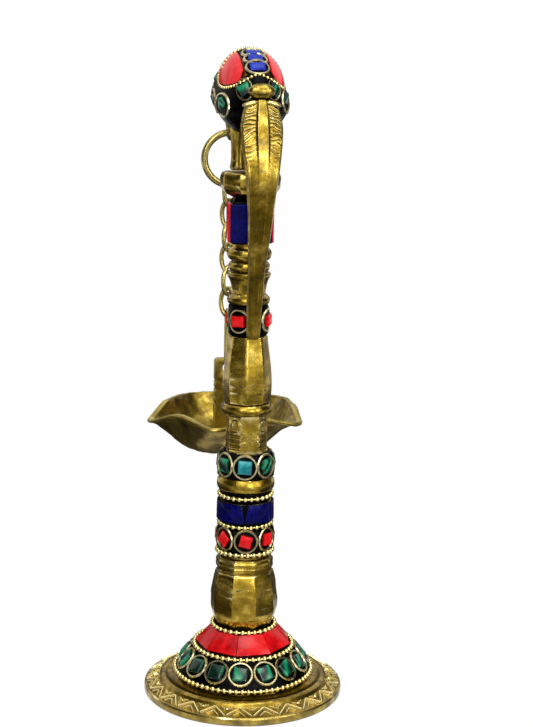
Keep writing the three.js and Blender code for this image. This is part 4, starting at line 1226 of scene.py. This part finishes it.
def lipSurface(u, v):             # the rolled lip, a round and uneven bead along the rim
    angle, about = 2 * math.pi * u, 2 * math.pi * v
    out = Vector((math.cos(angle), math.sin(angle), 0)) * math.cos(about)
    thick = bowl["lip"] * (0.65 + 0.35 * math.sin(angle) + 0.1 * math.sin(11 * angle))
    return (Vector(bowlSurface(u, rimAt)) + thick * (out + Vector((0, 0, math.sin(about))))
            - Vector((0, 0, bowl["lipSink"])))


vessel = joined([shapedGrid(140, len(bowlPath) - 1, bowlSurface), shapedGrid(140, 10, lipSurface)])
uneven(vessel, 1.8, 0.55)

post = {"half": 5.8, "thick": 3.6, "top": 131.6, "hole": 2.4, "foot": 92.6, "corner": 1.7,
        "play": 0.3, "nicks": (111.5, 115.2, 118.4, 121.9)}
plate = block((2 * post["half"], post["thick"], post["top"] - post["foot"]),
              (0, lampY, (post["top"] + post["foot"]) / 2))


def upperCorner(edge):            # the two upper corners, seen from the front
    ends = [plate.data.vertices[k].co / mm for k in edge.vertices]
    return all(p.z > post["top"] - 0.1 for p in ends) and abs(ends[0].x - ends[1].x) < 0.1


choose(plate, "EDGE", upperCorner)
bpy.ops.mesh.bevel(offset=post["corner"] * mm, segments=5, affect="EDGES")
letGo()
rise = wires["loopBend"] - math.sqrt(wires["loopBend"] ** 2 - (post["thick"] / 2) ** 2)
holeZ = wires["loopLow"] + wires["link"] + rise + post["play"] - post["hole"]
cutAway(plate, drill(post["hole"], 10, (0, lampY, holeZ), (math.pi / 2, 0, 0)))
cutAway(plate, joined([ball((side * (post["half"] + 0.2), lampY, z), (0.9, 3, 0.5), 12, 8)
                       for side in (-1, 1) for z in post["nicks"]]))
bevelled(plate, 0.35, 2, 40)
mound = placed(turned([(0, 92.0), (9.0, 92.0), (8.7, 93.2), (7.6, 93.6), (7.3, 94.8), (6.2, 95.2),
                       (5.9, 97.6), (0, 97.8)], 40, 0.3), (0, lampY, 0))
seated(joined([vessel, plate, mound]), "oilBowl", bowlBrass, ["oil_bowl"], "lamp", 35)
discard(ringTemplate, stoneTemplate)
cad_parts["tie_rod"].data.materials.clear()
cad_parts["tie_rod"].data.materials.append(turnedBrass)
print("bowl hung")


# Studio: white paper, soft lamps, dark panels for the metal to mirror, and the camera

studio = {
    "background": 1.0, "light": 0.55, "paperGlow": 0.98,
    # upright panels, in metres: azimuth, distance, width, height
    "flags": {"flagRight": (172, 1.2, 1.7, 1.8), "flagLeft": (12, 1.2, 1.5, 1.8),
              "flagFront": (262, 1.5, 2.8, 0.5)},
    # cloths on the table: x, y, width, depth
    "cloths": {"clothInFront": (0.06, 0.335, 0.8, 0.32), "clothBehind": (0, -0.34, 1.0, 0.5),
               "clothLeft": (0.33, -0.01, 0.54, 0.15), "clothRight": (-0.33, 0.01, 0.54, 0.16)},
    # place, height that it looks at, size, watts
    "lamps": {"keyLamp": ((0.45, 1.0, 0.85), 0.13, (0.35, 0.7), 6),
              "ribLamp": ((-0.2, 1.13, 0.40), 0.22, (0.3, 0.5), 4.5),
              "topLamp": ((-0.15, 0.35, 1.2), 0.15, (0.6, 0.6), 6),
              "fillLamp": ((-0.7, 0.7, 0.5), 0.13, (0.2, 0.8), 3)},
}
world = bpy.data.worlds.new("paleRoom")
bpy.context.scene.world = world
world.use_nodes = True


def seenAsBackground(tree):       # 1 for what the camera, a mirror or a lens sees, 0 for light
    rays = tree.nodes.new("ShaderNodeLightPath")
    last = rays.outputs["Is Camera Ray"]
    for kind in ("Is Glossy Ray", "Is Transmission Ray"):
        either = tree.nodes.new("ShaderNodeMath")
        either.operation = "MAXIMUM"
        tree.links.new(last, either.inputs[0])
        tree.links.new(rays.outputs[kind], either.inputs[1])
        last = either.outputs[0]
    return last


level = world.node_tree.nodes.new("ShaderNodeMapRange")
level.inputs["To Min"].default_value = studio["light"]
level.inputs["To Max"].default_value = studio["background"]
world.node_tree.links.new(seenAsBackground(world.node_tree), level.inputs["Value"])
world.node_tree.links.new(level.outputs[0], world.node_tree.nodes["Background"].inputs["Strength"])
world.node_tree.nodes["Background"].inputs["Color"].default_value = (1, 1, 1, 1)

letGo()
bpy.ops.mesh.primitive_plane_add(size=8, location=(0, 0, 0))
floor = bpy.context.object
floor.name = "floor"
paper, paperShader, _ = newMaterial("whitePaper", Roughness=0.9)
paperShader.inputs["Base Color"].default_value = hexColor("#f4f4f2")
glow = addNode(paper, "ShaderNodeEmission", {"Color": (1, 1, 1, 1), "Strength": 1.0})
share = addNode(paper, "ShaderNodeMath", {0: seenAsBackground(paper.node_tree),
                                          1: studio["paperGlow"]}, operation="MULTIPLY")
blend = addNode(paper, "ShaderNodeMixShader", {
    0: share.outputs[0], 1: paperShader.outputs[0], 2: glow.outputs[0]})
paperOut = paper.node_tree.nodes["Material Output"]
paper.node_tree.links.new(blend.outputs[0], paperOut.inputs["Surface"])
floor.data.materials.append(paper)

blackCloth, clothShader, _ = newMaterial("blackCloth", Roughness=0.9)
clothShader.inputs["Base Color"].default_value = hexColor("#1c1608")


def darkPanel(name, place, size, rotation=(0, 0, 0)):      # seen only in the metal
    letGo()
    bpy.ops.mesh.primitive_plane_add(size=1, location=place, rotation=rotation)
    panel = bpy.context.object
    panel.name = name
    panel.scale = (*size, 1)
    panel.data.materials.append(blackCloth)
    panel.visible_camera = panel.visible_shadow = panel.visible_diffuse = False


for name, (azimuth, distance, width, height) in studio["flags"].items():
    a = math.radians(azimuth)
    darkPanel(name, (distance * math.cos(a), distance * math.sin(a), height / 2), (width, height),
              (math.pi / 2, 0, a + math.pi / 2))
for name, (x, y, width, depth) in studio["cloths"].items():
    darkPanel(name, (x, y, 0.001), (width, depth))
for name, (place, aim, size, watts) in studio["lamps"].items():
    lamp = bpy.data.lights.new(name, "AREA")
    lamp.shape = "RECTANGLE"
    lamp.size, lamp.size_y = size
    lamp.energy = watts
    holder = bpy.data.objects.new(name, lamp)
    holder.location = place
    towards = Vector((0, 0, aim)) - Vector(place)
    holder.rotation_euler = towards.to_track_quat("-Z", "Y").to_euler()
    bpy.context.scene.collection.objects.link(holder)

view = {"place": (111.2, 630.3, 263.2), "aim": (-7.55, 1.3, 139.0), "lens": 79.66, "roll": 1.05}
camera = bpy.data.cameras.new("camera")
camera.lens = view["lens"]
camera.sensor_width = 36
camera.sensor_fit = "AUTO"
camera.clip_start = 0.01
eye = bpy.data.objects.new("camera", camera)
turn = (Vector(view["aim"]) - Vector(view["place"])).to_track_quat("-Z", "Y").to_matrix().to_4x4()
eye.matrix_world = (Matrix.Translation(Vector(view["place"]) * mm) @ turn
                    @ Matrix.Rotation(math.radians(view["roll"]), 4, "Z"))
bpy.context.scene.collection.objects.link(eye)
bpy.context.scene.camera = eye
bpy.context.scene.view_settings.view_transform = "Standard"
print("studio lit")
